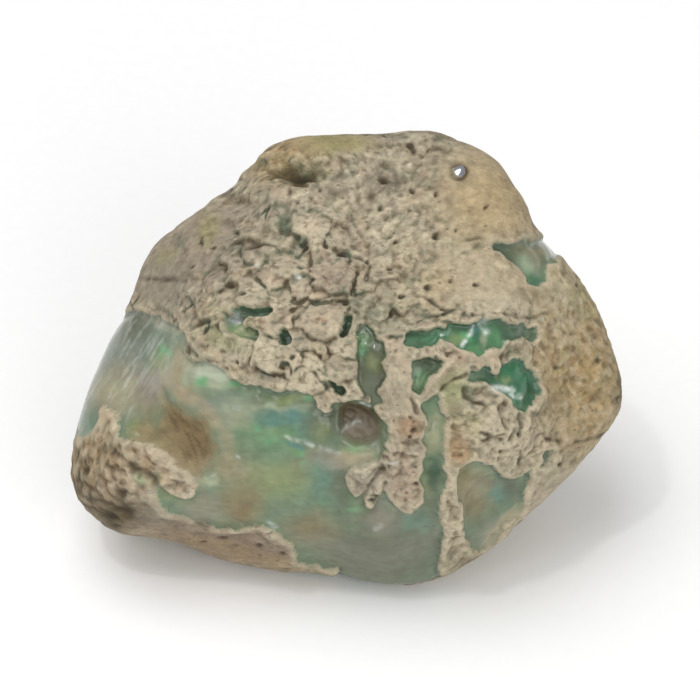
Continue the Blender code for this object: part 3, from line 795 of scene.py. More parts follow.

# %% [markdown]
# Natural stains have no sharp borders. Each is a soft patch of one pigment, laid on where the stone has it,
# area by area and in layers. Each row is a pigment, its strength, and its patch. The rind's come first. A few
# of their umber and deep green rows are painted shade: in the hollow at the top, in the crevices beside the
# pale plate on the slope, at the foot of the right rib and under the lower left lump, and umber darkens the
# bottom strip. The last few are soil and painted shade, which lie on everything else.

# %%  Stains of the rind
RIND_STAINS = (
    ("mauve tuff", 0.7, -11.2, 8.6, 5.6, 3.4, 35), ("grey tuff", 0.6, -13.8, 6.4, 2.4, 2.6, 35),
    ("grey tuff", 0.5, 5.0, 17.0, 5.0, 0.9), ("buff clay", 0.9, -5.0, 15.6, 2.8, 1.7, 15),
    ("iron stain", 0.2, -5.2, 15.8, 2.2, 1.2, 15), ("umber", 0.12, -5.2, 15.8, 2.4, 1.4, 15),
    # The umber at the start of this line and the next is painted shade in the hollow at the top.
    ("umber", 0.7, -3.9, 14.6, 2.3, 0.8), ("olive stain", 0.3, -3.9, 14.6, 2.8, 1.1),
    ("umber", 0.8, -3.8, 14.4, 1.7, 0.6), ("olive stain", 0.8, -1.2, 16.9, 2.2, 1.0),
    ("grey tuff", 1.0, 2.6, 13.9, 1.6, 1.3), ("umber", 0.3, 2.5, 13.9, 1.2, 0.9),
    ("buff clay", 0.75, 10.6, 12.6, 4.4, 4.4, -40), ("pale clay", 0.4, 8.6, 6.4, 5.8, 3.0, -10),
    ("buff clay", 0.2, 8.6, 6.4, 5.8, 3.0, -10), ("buff clay", 0.4, 6.6, 6.2, 1.4, 1.6, -10),
    ("pale clay", 1.0, -2.9, 10.4, 1.6, 1.3), ("rose clay", 0.5, -1.0, 7.0, 2.4, 1.1),
    ("mauve tuff", 0.4, -1.0, 7.0, 2.2, 1.0), ("rose clay", 0.8, -2.3, 3.4, 1.7, 1.2),
    ("pale clay", 0.5, -2.3, 3.4, 1.9, 1.3), ("iron stain", 0.5, -2.3, 3.5, 0.5, 0.3),
    ("pale clay", 0.7, -6.0, 0.6, 3.2, 1.8, -15), ("pale clay", 0.4, -2.4, -1.0, 2.0, 1.4, -20),
    ("pale clay", 0.7, -0.4, 1.4, 1.2, 1.2), ("pale clay", 0.6, -7.2, 5.2, 1.8, 0.8),
    ("olive stain", 0.35, -9.0, 3.4, 2.4, 1.2), ("pale clay", 0.35, 3.8, -1.4, 1.6, 3.4),
    ("olive clay", 0.7, 7.9, -2.4, 1.6, 2.4), ("olive stain", 0.3, 7.9, -2.4, 1.5, 2.2),
    ("moss opal", 0.5, 8.0, -1.6, 1.3, 1.4, 20), ("pale clay", 0.6, 9.2, -3.2, 0.8, 0.8),
    ("olive clay", 0.8, 11.9, 1.0, 1.0, 0.7), ("deep green", 0.4, 12.4, 0.9, 0.5, 0.4),
    ("grey clay", 0.8, 4.9, -6.8, 1.3, 1.2), ("olive clay", 0.5, 1.8, 4.2, 2.6, 1.4),
    ("deep green", 0.45, 1.4, 3.6, 2.2, 1.1), ("rose clay", 0.6, 7.4, 0.4, 3.0, 1.1, 30),
    ("rose clay", 0.5, 10.7, 0.7, 1.2, 1.3), ("pale clay", 0.6, 12.6, 2.4, 1.6, 1.6),
    ("pale clay", 1.0, 7.7, -12.0, 1.1, 4.6), ("grey tuff", 0.25, 0.8, 7.0, 2.2, 1.4, -10),
    ("grey clay", 1.0, 1.2, -8.2, 2.8, 2.0), ("rose clay", 0.6, 4.2, -8.4, 1.6, 2.0),
    ("mauve tuff", 0.25, 3.6, -8.0, 1.2, 1.4), ("pale clay", 0.8, 11.6, -4.6, 2.8, 4.0),
    ("buff clay", 1.0, 16.8, 0.8, 3.6, 8.0, 8), ("olive clay", 0.5, 16.0, -7.6, 2.4, 1.6, 40),
    ("pale clay", 0.8, 16.0, 4.4, 1.6, 3.4, 8), ("iron stain", 0.15, 18.2, 0.6, 2.0, 4.2, 5),
    ("olive stain", 0.3, 17.6, -0.4, 3.0, 4.2, 5), ("iron stain", 0.15, 17.2, -0.8, 3.0, 4.6, 5),
    ("olive stain", 0.4, 17.4, 5.2, 2.0, 1.6), ("buff clay", 0.6, 7.9, -5.6, 1.1, 2.0, 10),
    ("iron stain", 0.45, 8.0, -6.2, 0.9, 1.2, 20), ("iron stain", 0.5, 4.4, -4.6, 1.1, 0.8),
    ("umber", 0.6, 20.4, -1.6, 0.7, 1.8), ("pale clay", 0.8, -17.6, -6.6, 3.6, 3.0),
    ("buff clay", 0.8, -18.2, -7.0, 2.8, 2.4), ("pale clay", 0.4, -17.4, -7.4, 2.4, 2.2),
    ("iron stain", 0.25, -18.4, -7.4, 2.0, 1.6), ("rose clay", 0.7, -17.9, -9.0, 2.0, 1.0),
    ("umber", 0.6, -20.4, -8.6, 0.7, 2.2, 10), ("iron stain", 0.35, -18.2, -3.4, 0.8, 0.8),
    ("grey clay", 0.5, -15.2, -10.0, 1.6, 1.0), ("rose clay", 0.7, -14.8, -6.4, 2.6, 1.2, -42),
    ("grey clay", 0.7, -12.0, -9.2, 1.6, 0.9, -20), ("mauve tuff", 1.0, -9.4, -13.0, 7.0, 1.8, -14),
    ("iron stain", 0.15, -9.4, -13.4, 7.0, 1.6, -14), ("grey tuff", 0.9, -15.0, -11.0, 2.4, 1.2, -12),
    ("buff clay", 0.4, -8.0, -14.0, 6.0, 0.6, -14), ("umber", 0.27, -10.4, -12.8, 6.0, 1.4, -13),
    # The umber first on this line is painted shade at the foot of the right rib.
    ("umber", 0.4, 8.1, -14.4, 1.3, 1.1), ("grass flash", 0.7, -15.7, -8.4, 0.5, 0.35),
    ("olive stain", 0.6, -14.4, -8.8, 0.8, 0.5, -40), ("olive stain", 0.7, -10.6, 10.2, 0.8, 1.5),
    ("olive stain", 0.5, -13.8, 8.2, 1.0, 0.7, 30), ("deep green", 0.5, 4.9, 14.5, 0.45, 0.4),
    ("deep green", 0.5, 6.3, 14.4, 0.35, 0.35), ("olive stain", 0.6, 9.4, -4.3, 0.7, 0.9),
    ("buff clay", 0.5, -1.2, 16.9, 3.2, 1.0), ("olive stain", 0.6, -1.0, 16.9, 2.4, 0.9),
    ("pale clay", 0.5, 4.4, 17.2, 1.6, 0.5), ("pale clay", 0.7, 11.2, 4.4, 3.0, 1.0, -6),
    # The deep green on this line is painted shade in the crevices beside the pale plate.
    ("deep green", 0.85, -4.9, 10.7, 0.7, 1.1), ("deep green", 0.7, -3.9, 9.1, 0.6, 0.9),
    ("rose clay", 0.4, -2.9, 10.4, 1.2, 1.1), ("deep green", 0.4, 0.2, 5.0, 1.6, 0.5, -10),
    ("deep green", 0.4, -12.6, 9.2, 0.7, 0.6, 30), ("deep green", 0.5, -8.6, 8.7, 0.6, 0.3),
    ("grey clay", 0.4, 13.8, -9.8, 1.4, 3.6, -50), ("moss opal", 0.45, -9.4, 2.2, 1.8, 0.9, -15),
    ("leaf flash", 0.5, -8.7, 2.8, 0.9, 0.4), ("pearl opal", 0.5, -11.4, 0.8, 0.9, 0.5),
    # This umber is painted shade under the lower left lump.
    ("umber", 0.55, -19.7, -9.4, 1.0, 1.2, -50),
)
SOIL_AND_SHADE = (
    # The first two are painted shade: under the lower left lump and in the hollow at the top.
    ("umber", 0.85, -17.7, -11.1, 1.9, 1.3, -20), ("umber", 0.45, -3.9, 14.5, 1.5, 0.6),
    ("umber", 0.4, 20.4, -1.4, 0.6, 1.6), ("umber", 0.5, 5.0, -4.3, 0.4, 0.4),
)
print("stains of the rind:", len(RIND_STAINS) + len(SOIL_AND_SHADE))

# %% [markdown]
# In the opal the patches are flashes and clouds: silica spheres of one size stack up in small domains, each
# splits the light its own way, and iron or clay clouds the rest. The rows go from the far left face over the
# main window to the pockets and the small clefts. Two rows are painted light: a glint in mirror grey at the
# far left, and painted shade in umber on the right side of the left channel.

# %%  Stains in the opal
OPAL_STAINS = (
    ("grey facet", 0.95, -17.4, 0.2, 3.4, 4.6, -20), ("clay film", 0.6, -17.0, -1.6, 2.2, 1.8, -20),
    ("pearl opal", 0.6, -17.2, -2.2, 2.0, 1.2, -20), ("smoke opal", 0.7, -16.4, 3.2, 2.0, 1.2),
    ("smoke opal", 0.7, -20.0, 0.8, 0.7, 3.6, -22), ("clay film", 0.5, -18.2, -2.4, 1.6, 1.4, -20),
    ("moss opal", 0.7, -14.1, 0.4, 0.9, 1.0), ("grass flash", 0.8, -13.9, 1.1, 0.5, 0.35),
    ("sand opal", 0.6, -15.2, -2.6, 1.4, 1.5), ("lilac film", 0.7, -14.8, -1.4, 1.4, 1.4),
    ("pearl opal", 1.0, -10.4, -0.3, 2.8, 1.4, -8), ("bruise white", 0.22, -10.4, -0.4, 2.4, 0.8, -8),
    ("grass flash", 0.9, -11.1, -1.2, 0.6, 0.36), ("pearl opal", 1.0, -10.2, -1.3, 0.45, 0.45),
    ("grass flash", 0.9, -8.4, -1.2, 0.9, 0.4, 5), ("clay film", 0.9, -13.0, 0.1, 0.5, 1.4),
    ("clay film", 0.9, -12.4, -2.0, 2.4, 0.65, -42), ("clay film", 0.8, -10.4, -3.6, 1.6, 0.6, -48),
    ("clay film", 0.6, -9.3, -5.8, 0.55, 1.9, 8), ("grey facet", 0.5, -9.0, -2.9, 2.6, 0.9),
    ("clay film", 0.45, -8.2, -4.0, 1.0, 0.8), ("pearl opal", 0.5, -8.6, -3.4, 1.4, 1.0),
    ("moss opal", 0.8, -4.6, -2.5, 1.4, 0.4), ("grass flash", 0.7, -3.2, -2.4, 0.3, 0.3),
    ("pearl opal", 0.8, -5.2, -3.1, 2.2, 0.3, -2), ("leaf flash", 0.35, -5.8, -5.2, 3.0, 1.5),
    ("deep teal", 0.65, -5.3, -3.8, 2.2, 0.65, 3), ("deep teal", 0.5, -4.3, -3.7, 0.6, 0.7),
    ("teal flash", 0.6, -3.4, -4.6, 0.8, 1.0), ("grass flash", 0.6, -7.1, -4.4, 0.4, 0.3),
    ("grass flash", 0.5, -6.0, -5.7, 0.5, 0.25), ("deep teal", 0.9, -4.1, -5.9, 0.8, 0.25, -8),
    ("grass flash", 0.7, -3.9, -6.4, 0.5, 0.35), ("grass flash", 0.6, -3.4, -7.1, 0.35, 0.25),
    ("smoke opal", 0.8, -1.9, -4.2, 1.5, 1.4), ("moss opal", 0.5, -2.2, -4.9, 0.5, 0.8),
    ("lilac film", 0.7, -1.6, -6.9, 1.9, 0.9, -8), ("clay film", 0.6, 0.3, -6.9, 1.6, 0.9),
    ("leaf flash", 0.6, 0.3, -6.3, 0.9, 0.4), ("moss opal", 0.75, -5.6, -8.6, 3.0, 1.4),
    ("teal flash", 0.55, -2.1, -8.7, 1.1, 1.6), ("smoke opal", 0.7, -0.7, -9.4, 0.9, 1.6, 15),
    ("umber", 0.85, 0.8, -3.7, 1.7, 1.1, -25), ("mauve tuff", 0.8, 0.8, -5.0, 1.4, 0.8),
    ("pearl opal", 0.8, -10.8, -8.6, 0.8, 0.5, 20), ("clay film", 0.6, -9.0, -7.9, 1.5, 1.0),
    ("sand opal", 0.95, -8.4, -10.3, 1.7, 1.9), ("honey opal", 0.5, -8.0, -10.9, 1.2, 1.0),
    ("lilac film", 0.6, -11.3, -10.8, 1.5, 1.3), ("sand opal", 0.3, -11.3, -10.8, 1.5, 1.3),
    ("moss opal", 0.6, -13.6, -9.7, 1.3, 0.7, -20), ("smoke opal", 0.4, -13.9, -9.4, 0.6, 0.5),
    ("sand opal", 0.8, -3.0, -12.4, 2.4, 1.5, -10), ("honey opal", 0.35, -3.2, -12.2, 0.9, 0.9),
    ("grass flash", 0.55, 0.2, -10.8, 0.8, 0.3), ("smoke opal", 0.85, 2.6, -14.0, 5.4, 2.8),
    ("lilac film", 0.15, 2.6, -14.0, 5.4, 2.8), ("teal flash", 0.4, 4.9, -11.7, 1.4, 0.7),
    ("lilac film", 0.6, 2.4, -11.2, 1.1, 1.4, 15), ("moss opal", 0.6, 5.9, -9.0, 0.6, 0.8),
    ("moss opal", 0.8, -16.2, -4.7, 0.8, 0.8), ("emerald", 0.7, 6.2, -2.9, 0.5, 0.8),
    ("pearl opal", 0.6, 6.4, -5.0, 0.7, 1.8), ("olive stain", 0.3, 6.4, -6.0, 0.9, 4.0),
    ("emerald", 0.5, 6.5, -7.4, 0.6, 0.9), ("deep green", 0.85, 6.5, -8.4, 0.6, 1.4),
    ("smoke opal", 0.5, 6.2, -11.2, 0.5, 2.0), ("emerald", 0.55, 5.2, 2.1, 2.2, 1.2),
    ("emerald", 0.9, 9.2, 2.2, 3.2, 1.8), ("deep green", 0.6, 8.3, 2.8, 0.7, 0.4),
    ("deep green", 0.35, 9.8, 1.6, 1.2, 0.5), ("grass flash", 0.95, 8.5, 2.2, 0.5, 0.5),
    ("moss opal", 0.6, 7.9, 2.0, 0.5, 0.6), ("leaf flash", 0.5, 9.4, 1.2, 0.7, 0.6),
    ("deep teal", 0.9, 9.5, 2.9, 0.4, 0.6), ("pearl opal", 0.7, 10.1, 2.0, 0.4, 0.6),
    ("leaf flash", 0.4, 11.0, 2.1, 0.7, 0.6), ("deep green", 0.5, 12.6, 2.5, 1.4, 0.5, -8),
    ("deep green", 0.35, 9.4, 2.5, 0.5, 0.4), ("emerald", 1.0, 12.4, -0.8, 2.6, 2.0),
    ("moss opal", 0.7, 11.7, -1.0, 0.35, 0.5), ("deep green", 0.7, 10.6, -0.9, 0.6, 0.8),
    ("deep green", 0.7, 13.5, -1.9, 0.4, 1.0), ("emerald", 0.6, 12.8, -2.4, 1.2, 0.9),
    ("deep green", 0.25, 5.6, -0.3, 1.4, 2.0), ("smoke opal", 0.6, 5.9, 0.4, 1.2, 0.6),
    ("leaf flash", 0.4, 5.4, -0.9, 0.7, 0.9), ("smoke opal", 0.9, 1.6, 0.2, 1.6, 3.4),
    ("deep green", 0.2, 1.6, 0.4, 1.5, 2.8), ("umber", 0.22, 1.6, 0.4, 1.4, 2.6),
    ("leaf flash", 0.5, 1.0, 1.6, 0.6, 1.0), ("emerald", 0.5, 1.1, 1.0, 0.4, 0.4),
    # The umber at the end of this line is painted shade on the channel's right side, beside the worm.
    ("moss opal", 0.6, 2.0, 0.2, 0.7, 0.7), ("umber", 0.4, 2.4, -0.6, 0.4, 1.2),
    ("sand opal", 0.8, 13.6, 8.5, 1.6, 1.0), ("smoke opal", 0.6, 11.6, 8.9, 1.2, 0.5, -20),
    ("teal flash", 0.7, 13.2, 7.2, 1.1, 0.8, -40), ("pearl opal", 0.7, 13.3, 7.2, 1.2, 0.9, -40),
    ("emerald", 0.8, 13.9, 6.6, 0.8, 0.6), ("lilac film", 0.6, 12.7, 6.4, 0.9, 0.4, -30),
    ("sand opal", 0.9, 9.3, -9.4, 1.6, 1.8, 10), ("olive stain", 0.6, 9.0, -8.3, 1.4, 0.8, -10),
    ("umber", 0.4, 9.6, -8.4, 1.6, 0.5, -14), ("honey opal", 0.5, 9.0, -10.4, 1.0, 1.4),
    ("teal flash", 0.7, 11.2, -9.6, 1.2, 0.8), ("smoke opal", 0.8, 12.2, -9.2, 0.9, 1.2),
    ("lilac film", 0.5, 10.6, -12.4, 1.6, 0.9, 40), ("emerald", 0.6, -7.2, 4.1, 1.6, 0.6),
    ("teal flash", 0.65, -7.2, 4.1, 1.2, 0.4), ("sand opal", 0.3, -7.4, 3.9, 1.6, 0.7),
    # The mirror grey patch first on this line is a painted glint.
    ("mirror grey", 0.6, -8.6, 3.6, 0.5, 0.4), ("grass flash", 0.6, -8.5, 3.1, 0.6, 0.3),
    ("moss opal", 1.0, -8.2, 2.7, 1.2, 0.6), ("pearl opal", 0.4, -8.4, 2.7, 0.9, 0.4),
    ("deep green", 0.9, -5.2, 2.2, 1.2, 0.6, -15), ("deep green", 0.9, -0.4, 3.0, 0.6, 1.0),
    ("deep green", 0.8, -1.0, -1.6, 0.6, 0.7), ("smoke opal", 0.8, 14.6, -6.9, 0.9, 0.8),
)
print("stains in the opal:", len(OPAL_STAINS))

# %% [markdown]
# The rind's colour is laid in layers, mostly in the order in which nature did it: the tone of each plate,
# broad patches, then stains and specks, then painted shade in gaps, creases and hollows, and a pale wear
# with a painted highlight on what stands out. Slopes that face down get a dark line, a painted shadow
# under the ledge. Last come the soil and painted shade, and the pale broken edge.

# %%  Colour the rind
PLATE_TINTS = (
    ("pale clay", 0.65), ("mauve tuff", 0.5), ("olive clay", 0.5), ("grey tuff", 0.5), ("rose clay", 0.6),
    ("pale clay", 0.4), ("buff clay", 0.4),
)
PATCHES = (
    ("rose clay", 0.8, 103.0, 0.5), ("olive clay", 0.7, 105.0, 0.5), ("pale clay", 0.5, 107.0, 0.5),
    ("grey tuff", 1.1, 109.0, 0.4),
)
FINE_MELTING = 8
BROAD_MELTING = 60


def picked(random, number, choices):
    """One where a random value falls to this one of several choices."""
    return np.floor(random * len(choices)) == number


rind_color = np.tile(plain("dry clay"), (corner_count, 1))
for number, (pigment, strength) in enumerate(PLATE_TINTS):
    rind_color = tinted(rind_color, (
        pigment, strength * picked(plate_random, number, PLATE_TINTS) * plate_share))
for pigment, size, shift, strength in PATCHES:
    rind_color = tinted(rind_color, (pigment, strength * rise(uneven(size, shift), 0.0, 0.35)))
rind_color = stained(rind_color, RIND_STAINS)

gnarled, lobed, gritty = kinds["gnarled"], kinds["lobed"], kinds["gritty"]
loose = np.clip(plated + kinds["rubble"] + lobed + kinds["knobbly"] + gnarled, 0.0, 1.0)
speck = uneven(0.38, 111.0)
dark_speck = 0.50 * loose * rise(speck, 0.18, 0.42)
speck_green = rise(uneven(1.8, 112.0), 0.0, 0.3)
rind_color = tinted(
    rind_color,
    ("umber", dark_speck * (1.0 - speck_green)),
    ("deep green", dark_speck * speck_green),
    ("pale clay", 0.45 * loose * rise(-speck, 0.15, 0.42)))
tone = 1.0 + 0.14 * uneven(1.4, 79.0) + 0.14 * uneven(0.5, 83.0)
tone += 0.35 * (crumb_random - 0.5) * (0.4 + 0.6 * np.clip(kinds["rubble"] + gritty, 0.0, 1.0))
rind_color *= np.clip(tone, 0.4, 1.6)[:, None]

# Painted shade: the gaps between plates, the creases of the gnarled lump and the lobes, the hollows of the
# relief and the underside of ledges are darkened where shade falls.
gap_shade = (1.0 - plate_top) * plate_share
gap_green = rise(uneven(1.6, 85.0), 0.0, 0.3)
crease_shade = 0.35 * gnarled * (1.0 - bark) + 0.25 * lobed * (1.0 - rise(lobe_edge, -0.04, 0.15))
crease_shade += 0.6 * gnarled * rise(-flakes, 0.12, 0.34)
ledge_shadow = rise(slope_up(melted(height, 1)), 0.25, 0.9) * calm * rind
fine_relief = height - melted(height, FINE_MELTING)
broad_relief = height - melted(height, BROAD_MELTING)
hollow_shade = 0.6 * np.clip(-fine_relief / 0.10, 0.0, 1.0) + 0.5 * np.clip(-broad_relief / 0.30, 0.0, 1.0)
hollow_shade *= (1.0 - 0.35 * np.clip(gnarled + lobed, 0.0, 1.0)) * (0.25 + 0.75 * calm)
hollow_shade = np.clip(hollow_shade, 0.0, 0.85)
# Paler where the fine relief stands out: wear, with a painted highlight on the raised edges.
worn = np.clip(fine_relief / 0.10, 0.0, 1.0) * (0.35 - 0.25 * kinds["smooth"])
rind_color = tinted(
    rind_color,
    ("umber", 0.55 * gap_shade * (1.0 - gap_green)),
    ("deep green", 0.75 * gap_shade * gap_green),
    ("pale clay", 0.5 * gnarled * rise(flakes, 0.10, 0.34)),
    ("iron stain", 0.3 * gnarled * rise(uneven(0.7, 110.0), 0.0, 0.3)),
    ("umber", np.clip(crease_shade, 0.0, 1.0)),
    ("iron stain", 0.22 * gritty * rise(uneven(1.1, 94.0), 0.0, 0.35)),
    ("olive stain", 0.45 * gritty * rise(uneven(0.9, 95.0), 0.0, 0.35)),
    ("pale clay", 0.45 * gritty * rise(uneven(0.5, 92.0), 0.05, 0.4)),
    ("umber", 0.55 * gritty * rise(uneven(0.6, 96.0), 0.15, 0.45)),
    ("umber", 0.55 * ledge_shadow * (1.0 - 0.7 * gap_green)),
    ("deep green", 0.5 * ledge_shadow * gap_green * plate_share),
    ("umber", hollow_shade * (1.0 - 0.6 * gap_green)),
    ("deep green", 0.6 * hollow_shade * gap_green * plate_share),
    ("pale clay", worn))
rind_color = stained(rind_color, SOIL_AND_SHADE)
rind_color = tinted(
    rind_color,
    ("pale clay", 0.5 * np.exp(-(bare_depth / 0.30) ** 2) * front),
    # A painted glint along the small ridges on the clay.
    ("bruise white", 0.8 * glint_ridge))
print("mean of the rind, linear:", rind_color.mean(axis=0).round(2))

# %% [markdown]
# The opal starts milky, with flecks of flash in flat cells, as its layers settled. Then the drawn flashes
# and clouds go in. Behind, where nothing is drawn, smoky and honey clouds take over. A painted shadow
# deepens the green where the rind hangs over a window and along the lip of the step window, the brown bowl
# is stained with iron along its fibres, the upper wall of the pocket gets painted shade, and the painted
# glints on the ridges and the painted sheen on the scratches are white.

# %%  Colour the opal
FLECKS = (
    ("leaf flash", 0.24), ("teal flash", 0.18), ("olive stain", 0.22), ("pearl opal", 0.16),
    ("sand opal", 0.26), ("smoke opal", 0.22), ("teal flash", 0.10),
)
STEP_LIP_SHADE = ((10.2, 9.1), (11.4, 8.6), (12.3, 7.8), (13.1, 6.8))

wide = np.maximum(1.0 - front, rise(depth_inside(WINDOWS["main window"]), -0.2, 0.4)) * 0.6 + 0.2
fleck_spots = np.stack([across / 1.7, up / 0.8, toward_eye / 1.6], axis=1) + 0.3 * uneven(0.8, 97.0)[:, None]
_, fleck_edge, fleck_random, _ = cells(1.0, 98.0, fleck_spots)
opal_color = np.tile(plain("milky opal"), (corner_count, 1))
for number, (pigment, strength) in enumerate(FLECKS):
    chosen = picked(fleck_random, number, FLECKS) * rise(fleck_edge, 0.0, 0.25) * wide
    opal_color = tinted(opal_color, (pigment, strength * chosen))
broad_mix = uneven(2.6, 99.0)
opal_color = tinted(
    opal_color,
    ("teal flash", 0.20 * rise(broad_mix, 0.0, 0.4) * wide),
    ("sand opal", 0.35 * rise(-broad_mix, 0.0, 0.4) * wide))
opal_color = stained(opal_color, OPAL_STAINS + FILMS)

behind_mix = uneven(4.2, 101.0)
# Painted shadow: the green is deepened along the lip of the step window and just under the rind where it
# hangs over a window.
seam = np.exp(-(gap_to_line(STEP_LIP_SHADE) / 0.32) ** 2) * seen
overhang_shadow = np.clip(-1.4 * slope_up(bare_depth), 0.0, 1.0)
overhang_shadow *= np.exp(-(np.maximum(bare_depth, 0.0) / 0.25) ** 2)
brown_heart = np.maximum(blob((-13.0, -4.3, 1.9, 1.3, -20), 2.5, stain_spots),
                         blob((-12.0, -5.8, 1.8, 1.6), 2.5, stain_spots))
iron = bowl_floor * (0.1 + 0.9 * brown_heart) * (0.30 + 0.55 * rise(fibres, -0.05, 0.35))
opal_color = tinted(
    opal_color,
    ("smoke opal", 0.8 * rise(behind_mix, 0.0, 0.3) * (1.0 - front)),
    ("honey opal", 0.7 * rise(-behind_mix, 0.15, 0.4) * (1.0 - front)),
    ("deep green", 0.7 * seam),
    ("deep green", 0.6 * overhang_shadow * front),
    ("sand opal", 0.90 * bowl_floor),
    ("clay film", 0.9 * bowl_floor * blob((-11.3, -7.6, 2.2, 1.1, -20))),
    ("honey opal", bowl_floor * (0.35 + 0.65 * brown_heart)),
    ("umber", iron),
    ("mauve tuff", 0.75 * pocket),
    ("umber", 0.32 * pocket),
    # Painted shade on the upper inner wall of the pocket.
    ("umber", 0.8 * pocket * rise(up + 0.5 * uneven(0.8, 86.0), -4.6, -3.4)),
    # Painted sheen on the scratches, and painted glints along the ridges.
    ("bruise white", 0.32 * scratch_and_sheen),
    ("bruise white", glint_ridge))
opal_color *= (CLEAR_GAIN * (1.0 + 0.14 * uneven(0.9, 87.0) + 0.10 * uneven(0.4, 89.0)))[:, None]
print("mean of the opal, linear:", opal_color.mean(axis=0).round(2))

# %% [markdown]
# The results are kept on the mesh, one value or colour for every corner, under names that the finish reads.
# Cracks, pits and pinpricks are kept as shade, because light hardly reaches their floors, and so is a painted
# shadow on the lower right of the socket round the bead.

# %%  Keep it all on the mesh
shade = np.maximum(0.65 * crack, np.maximum(0.8 * pit ** 2, 0.6 * pinprick)) * (0.4 + 0.6 * rind)
# A painted shadow darkens the bead's socket on its lower right side.
bead_shadow_side = rise((across - BEAD[0]) - 0.6 * (up - BEAD[1]), -0.1, 0.4)
shade = np.maximum(shade, bead_socket * (0.25 + 0.55 * bead_shadow_side))
flaky = np.clip(plate_share + 0.6 * (lobed + kinds["knobbly"] + gnarled), 0.0, 1.0)
layers = {
    "clay_stain": rind_color, "opal_stain": opal_color, "bare_depth": bare_depth, "shade": shade,
    "plate_gap": plate_gap + 0.3 * (1.0 - plate_share), "flaky": flaky, "bead_depth": 1.0 - bead_gap,
    "dull": np.clip(0.75 * bowl_floor + 0.35 * pocket + film, 0.0, 1.0),
}


def keep_on_mesh(name, values):
    """Store one number, or one colour, for every corner."""
    if values.ndim == 1:
        layer = skin_mesh.attributes.new(name, "FLOAT", "POINT")
        layer.data.foreach_set("value", values.astype(np.float32))
    else:
        layer = skin_mesh.attributes.new(name, "FLOAT_COLOR", "POINT")
        full = np.concatenate([values, np.ones((corner_count, 1))], axis=1)
        layer.data.foreach_set("color", full.astype(np.float32).ravel())


for name, values in layers.items():
    keep_on_mesh(name, values)
print("layers kept:", len(layers))

# %% [markdown]
# One finish covers the stone, because rind and opal run into each other. The mesh carries distances, such as
# how deep a spot lies in a window, and the finish cuts them off sharply, so an edge is finer than the mesh.
# A little noise frays the cut, as a broken clay edge is frayed.

# %%  The edge between clay and opal
FRAY_MM = 0.35
FRAY_DEPTH = 0.06
EDGE_SOFT = 0.04


def add_node(tree, kind, inputs=(), **settings):
    """Add a node. Its inputs, by place or by name, are plain values or outputs of other nodes."""
    node = tree.nodes.new("ShaderNode" + kind)
    for name, value in settings.items():
        setattr(node, name, value)
    for socket, value in inputs.items() if isinstance(inputs, dict) else enumerate(inputs):
        if isinstance(value, bpy.types.NodeSocket):
            tree.links.new(value, node.inputs[socket])
        else:
            node.inputs[socket].default_value = value
    return node.outputs


finish = bpy.data.materials.new("clay_rind_and_opal")
finish.use_nodes = True
tree = finish.node_tree
shader = tree.nodes["Principled BSDF"]
place = add_node(tree, "TexCoord")["Object"]
kept = {name: add_node(tree, "Attribute", attribute_name=name) for name in layers}
fray = add_node(tree, "TexNoise", {"Vector": place, "Scale": 1.0 / (FRAY_MM * MM), "Detail": 3.0})[0]
fray_shift = add_node(tree, "MapRange", (fray, 0.3, 0.7, -FRAY_DEPTH, FRAY_DEPTH))[0]
frayed_depth = add_node(tree, "Math", (kept["bare_depth"]["Fac"], fray_shift), operation="ADD")[0]
opal_share = add_node(tree, "MapRange", (frayed_depth, -EDGE_SOFT, EDGE_SOFT, 0.0, 1.0))[0]
clay_share = add_node(tree, "MapRange", (frayed_depth, -EDGE_SOFT, EDGE_SOFT, 1.0, 0.0))[0]
bead_share = add_node(tree, "MapRange", (kept["bead_depth"]["Fac"], 0.0, 0.15, 0.0, 1.0))[0]
print("layers the finish reads:", ", ".join(kept))

# %% [markdown]
# Clay shrinks as it dries, so it is crossed by hairlines and stippled with pores far finer than the mesh.
# Both come from scattered points: a hairline is the border between two points' cells, and a pore is the spot
# close to one. Noise bends them and lets them fade in and out. Their dark, and the dark line along the gaps
# between plates, is painted shade, as little light gets into them.

# %%  Hairlines, pores and gaps
FLAKE_MM = 1.0
PORE_MM = 0.6
BEND_MM = 0.7
FADE_MM = 0.9

bend = add_node(tree, "TexNoise", {"Vector": place, "Scale": 1.0 / (BEND_MM * MM), "Detail": 2.0})["Color"]
bend = add_node(tree, "VectorMath", {0: bend, "Scale": BEND_MM * MM}, operation="SCALE")[0]
bent = add_node(tree, "VectorMath", (place, bend), operation="ADD")[0]
bent = add_node(tree, "Mapping", {"Vector": bent, "Scale": (0.65, 1.3, 1.3)})[0]
flake_edge = add_node(tree, "TexVoronoi", {"Vector": bent, "Scale": 1.0 / (FLAKE_MM * MM)},
                      feature="DISTANCE_TO_EDGE")["Distance"]
flake_height = add_node(tree, "TexVoronoi", {"Vector": bent, "Scale": 1.0 / (FLAKE_MM * MM)})["Color"]
pore_gap = add_node(tree, "TexVoronoi", {"Vector": bent, "Scale": 1.0 / (PORE_MM * MM)})["Distance"]
fade = add_node(tree, "TexNoise", {"Vector": place, "Scale": 1.0 / (FADE_MM * MM), "Detail": 3.0})[0]
hairline = add_node(tree, "MapRange", (flake_edge, 0.0, 0.05, 0.55, 0.0))[0]
hairline_fade = add_node(tree, "MapRange", (fade, 0.50, 0.62, 0.0, 1.0))[0]
hairline = add_node(tree, "Math", (hairline, hairline_fade), operation="MULTIPLY")[0]
hairline = add_node(tree, "Math", (hairline, kept["flaky"]["Fac"]), operation="MULTIPLY")[0]
pore = add_node(tree, "MapRange", (pore_gap, 0.10, 0.20, 0.7, 0.0))[0]
pore_fade = add_node(tree, "MapRange", (fade, 0.42, 0.52, 1.0, 0.0))[0]
pore = add_node(tree, "Math", (pore, pore_fade), operation="MULTIPLY")[0]
